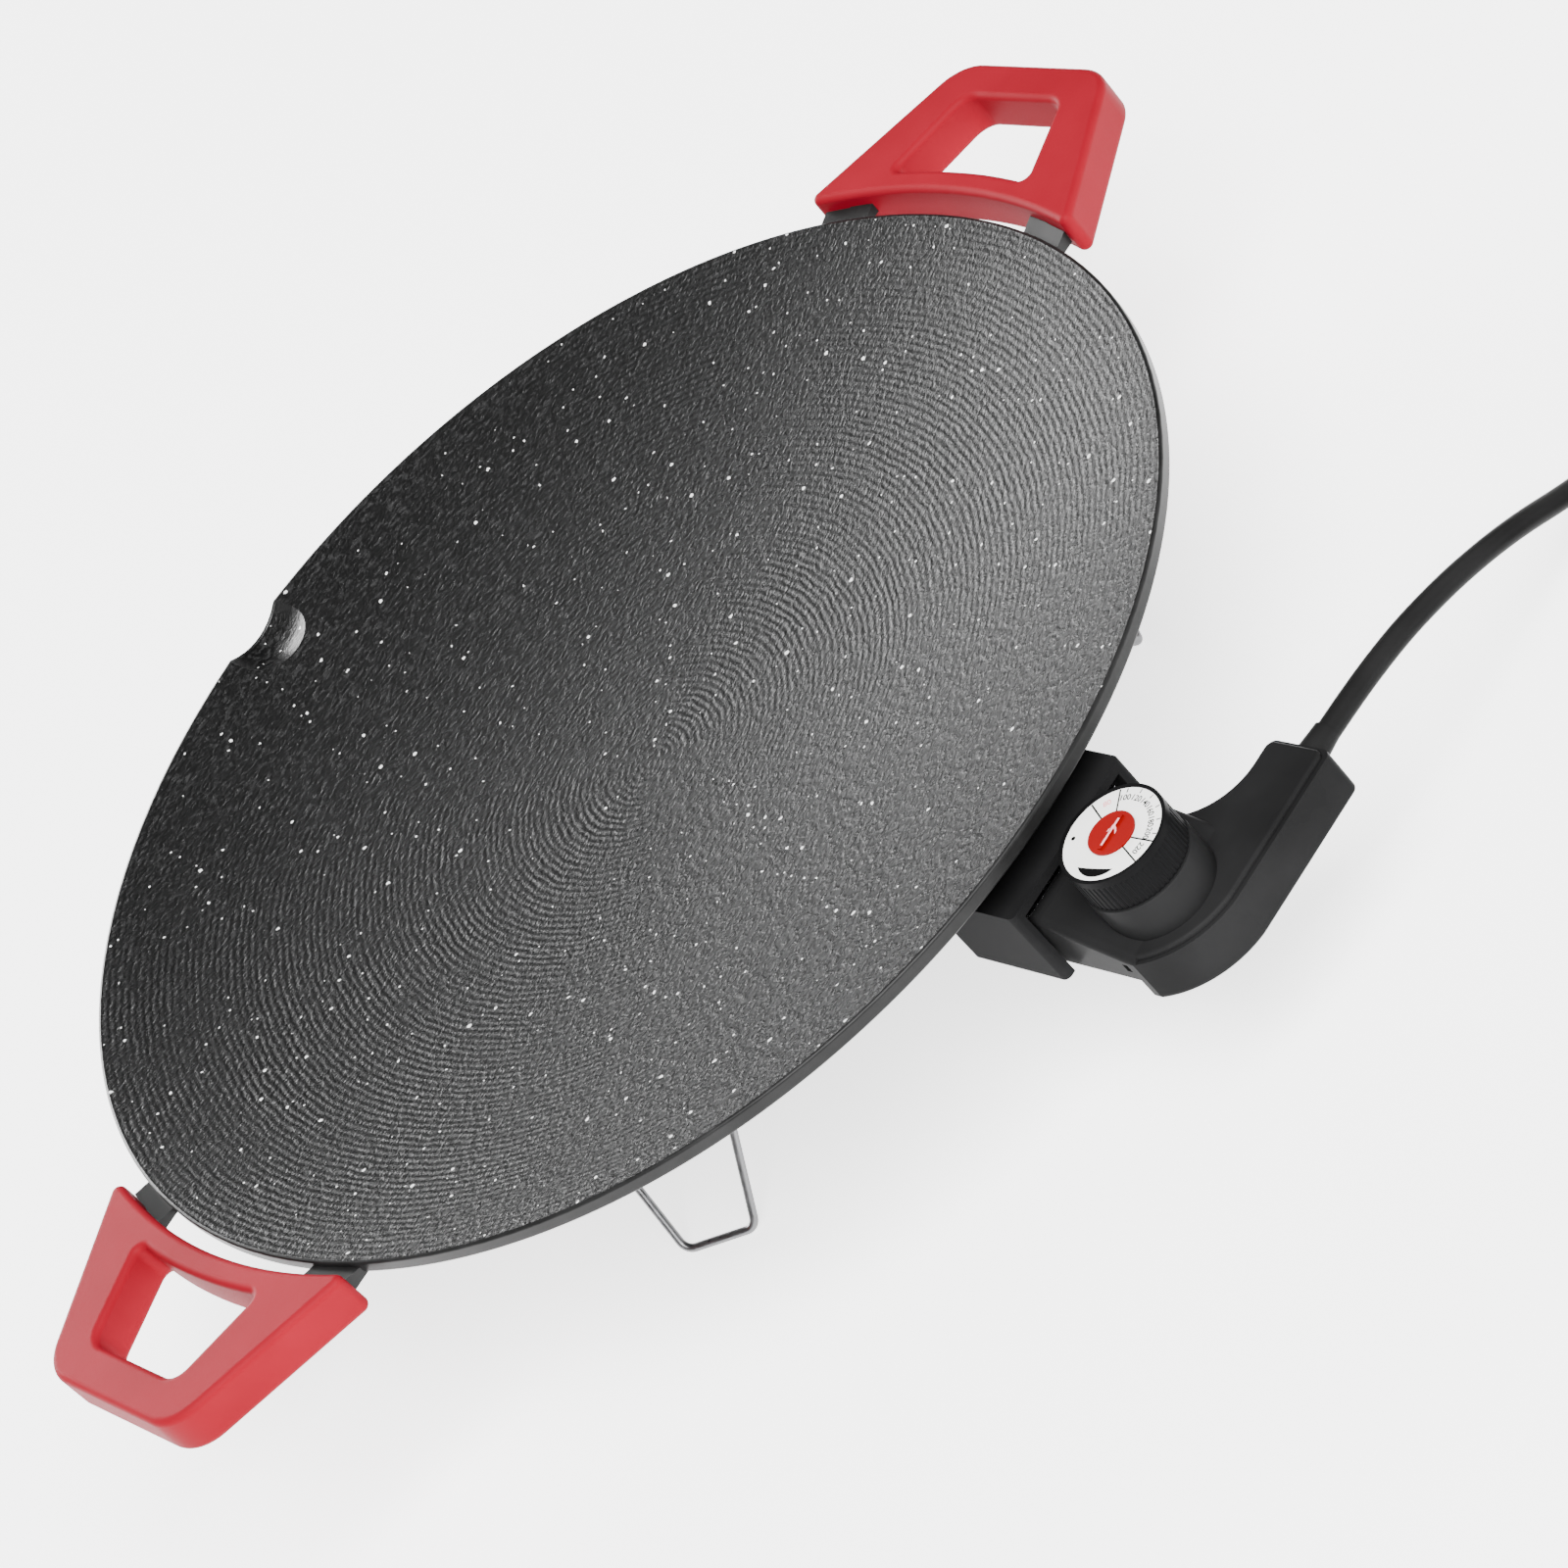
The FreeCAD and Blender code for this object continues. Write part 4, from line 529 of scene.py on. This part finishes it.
def make_cord():
    data = bpy.data.curves.new("mains_lead", "CURVE")
    data.dimensions = "3D"
    data.bevel_depth = CORD_DIAMETER / 2
    data.bevel_resolution = 6
    data.resolution_u = 8
    data.use_fill_caps = True
    spline = data.splines.new("NURBS")
    points = cord_points()
    spline.points.add(len(points) - 1)
    for point, place in zip(spline.points, points):
        point.co = (*place, 1)
    spline.order_u = 3
    spline.use_endpoint_u = True
    lead = bpy.data.objects.new("mains_lead", data)
    bpy.context.scene.collection.objects.link(lead)
    data.materials.append(MATERIALS["rubber"])
    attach(lead, "control")
    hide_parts("mains_cord", "cord_coil", "cord_tail")
    return lead


lead = make_cord()


# ---------------------------------------------------------------- floor and light
WORLD, FLOOR_GLOW = 0.1, 2.2
FLOOR_SIZE, FLOOR_LEVEL = 40, -0.0002
AIM = Vector((0, 0, 0.05))
# each soft box: where it stands, how wide it is and its power
LAMPS = {
    "front": ((-0.6, -1.6, 2.4), 2.4, 340),
    "back": ((-0.1, 2.8, 0.9), 1.7, 200),
    "top": ((0.35, 0.5, 2.3), 1.2, 3),
    "sky": ((1.0, 2.8, 2.5), 1.2, 1.5),
    "side": ((2.2, -0.6, 1.4), 1.6, 20),
}


def make_stage():
    bpy.ops.mesh.primitive_plane_add(size=FLOOR_SIZE, location=(0, 0, FLOOR_LEVEL))
    floor = bpy.context.object
    floor.name = "floor"
    made = Nodes("pale_floor")
    made.set(Base_Color=(0.95, 0.95, 0.95, 1), Roughness=0.95, Specular_IOR_Level=0.0,
             Emission_Color=(1, 1, 1, 1), Emission_Strength=FLOOR_GLOW)
    floor.data.materials.append(made.material)
    world = bpy.data.worlds.new("studio")
    bpy.context.scene.world = world
    world.use_nodes = True
    world.node_tree.nodes["Background"].inputs["Color"].default_value = (1, 1, 1, 1)
    world.node_tree.nodes["Background"].inputs["Strength"].default_value = WORLD
    for name, (place, size, power) in LAMPS.items():
        data = bpy.data.lights.new(name, "AREA")
        data.shape = "SQUARE"
        data.size = size
        data.energy = power
        light = bpy.data.objects.new(name, data)
        light.location = place
        light.rotation_mode = "QUATERNION"
        light.rotation_quaternion = (AIM - Vector(place)).to_track_quat("-Z", "Y")
        bpy.context.scene.collection.objects.link(light)


make_stage()
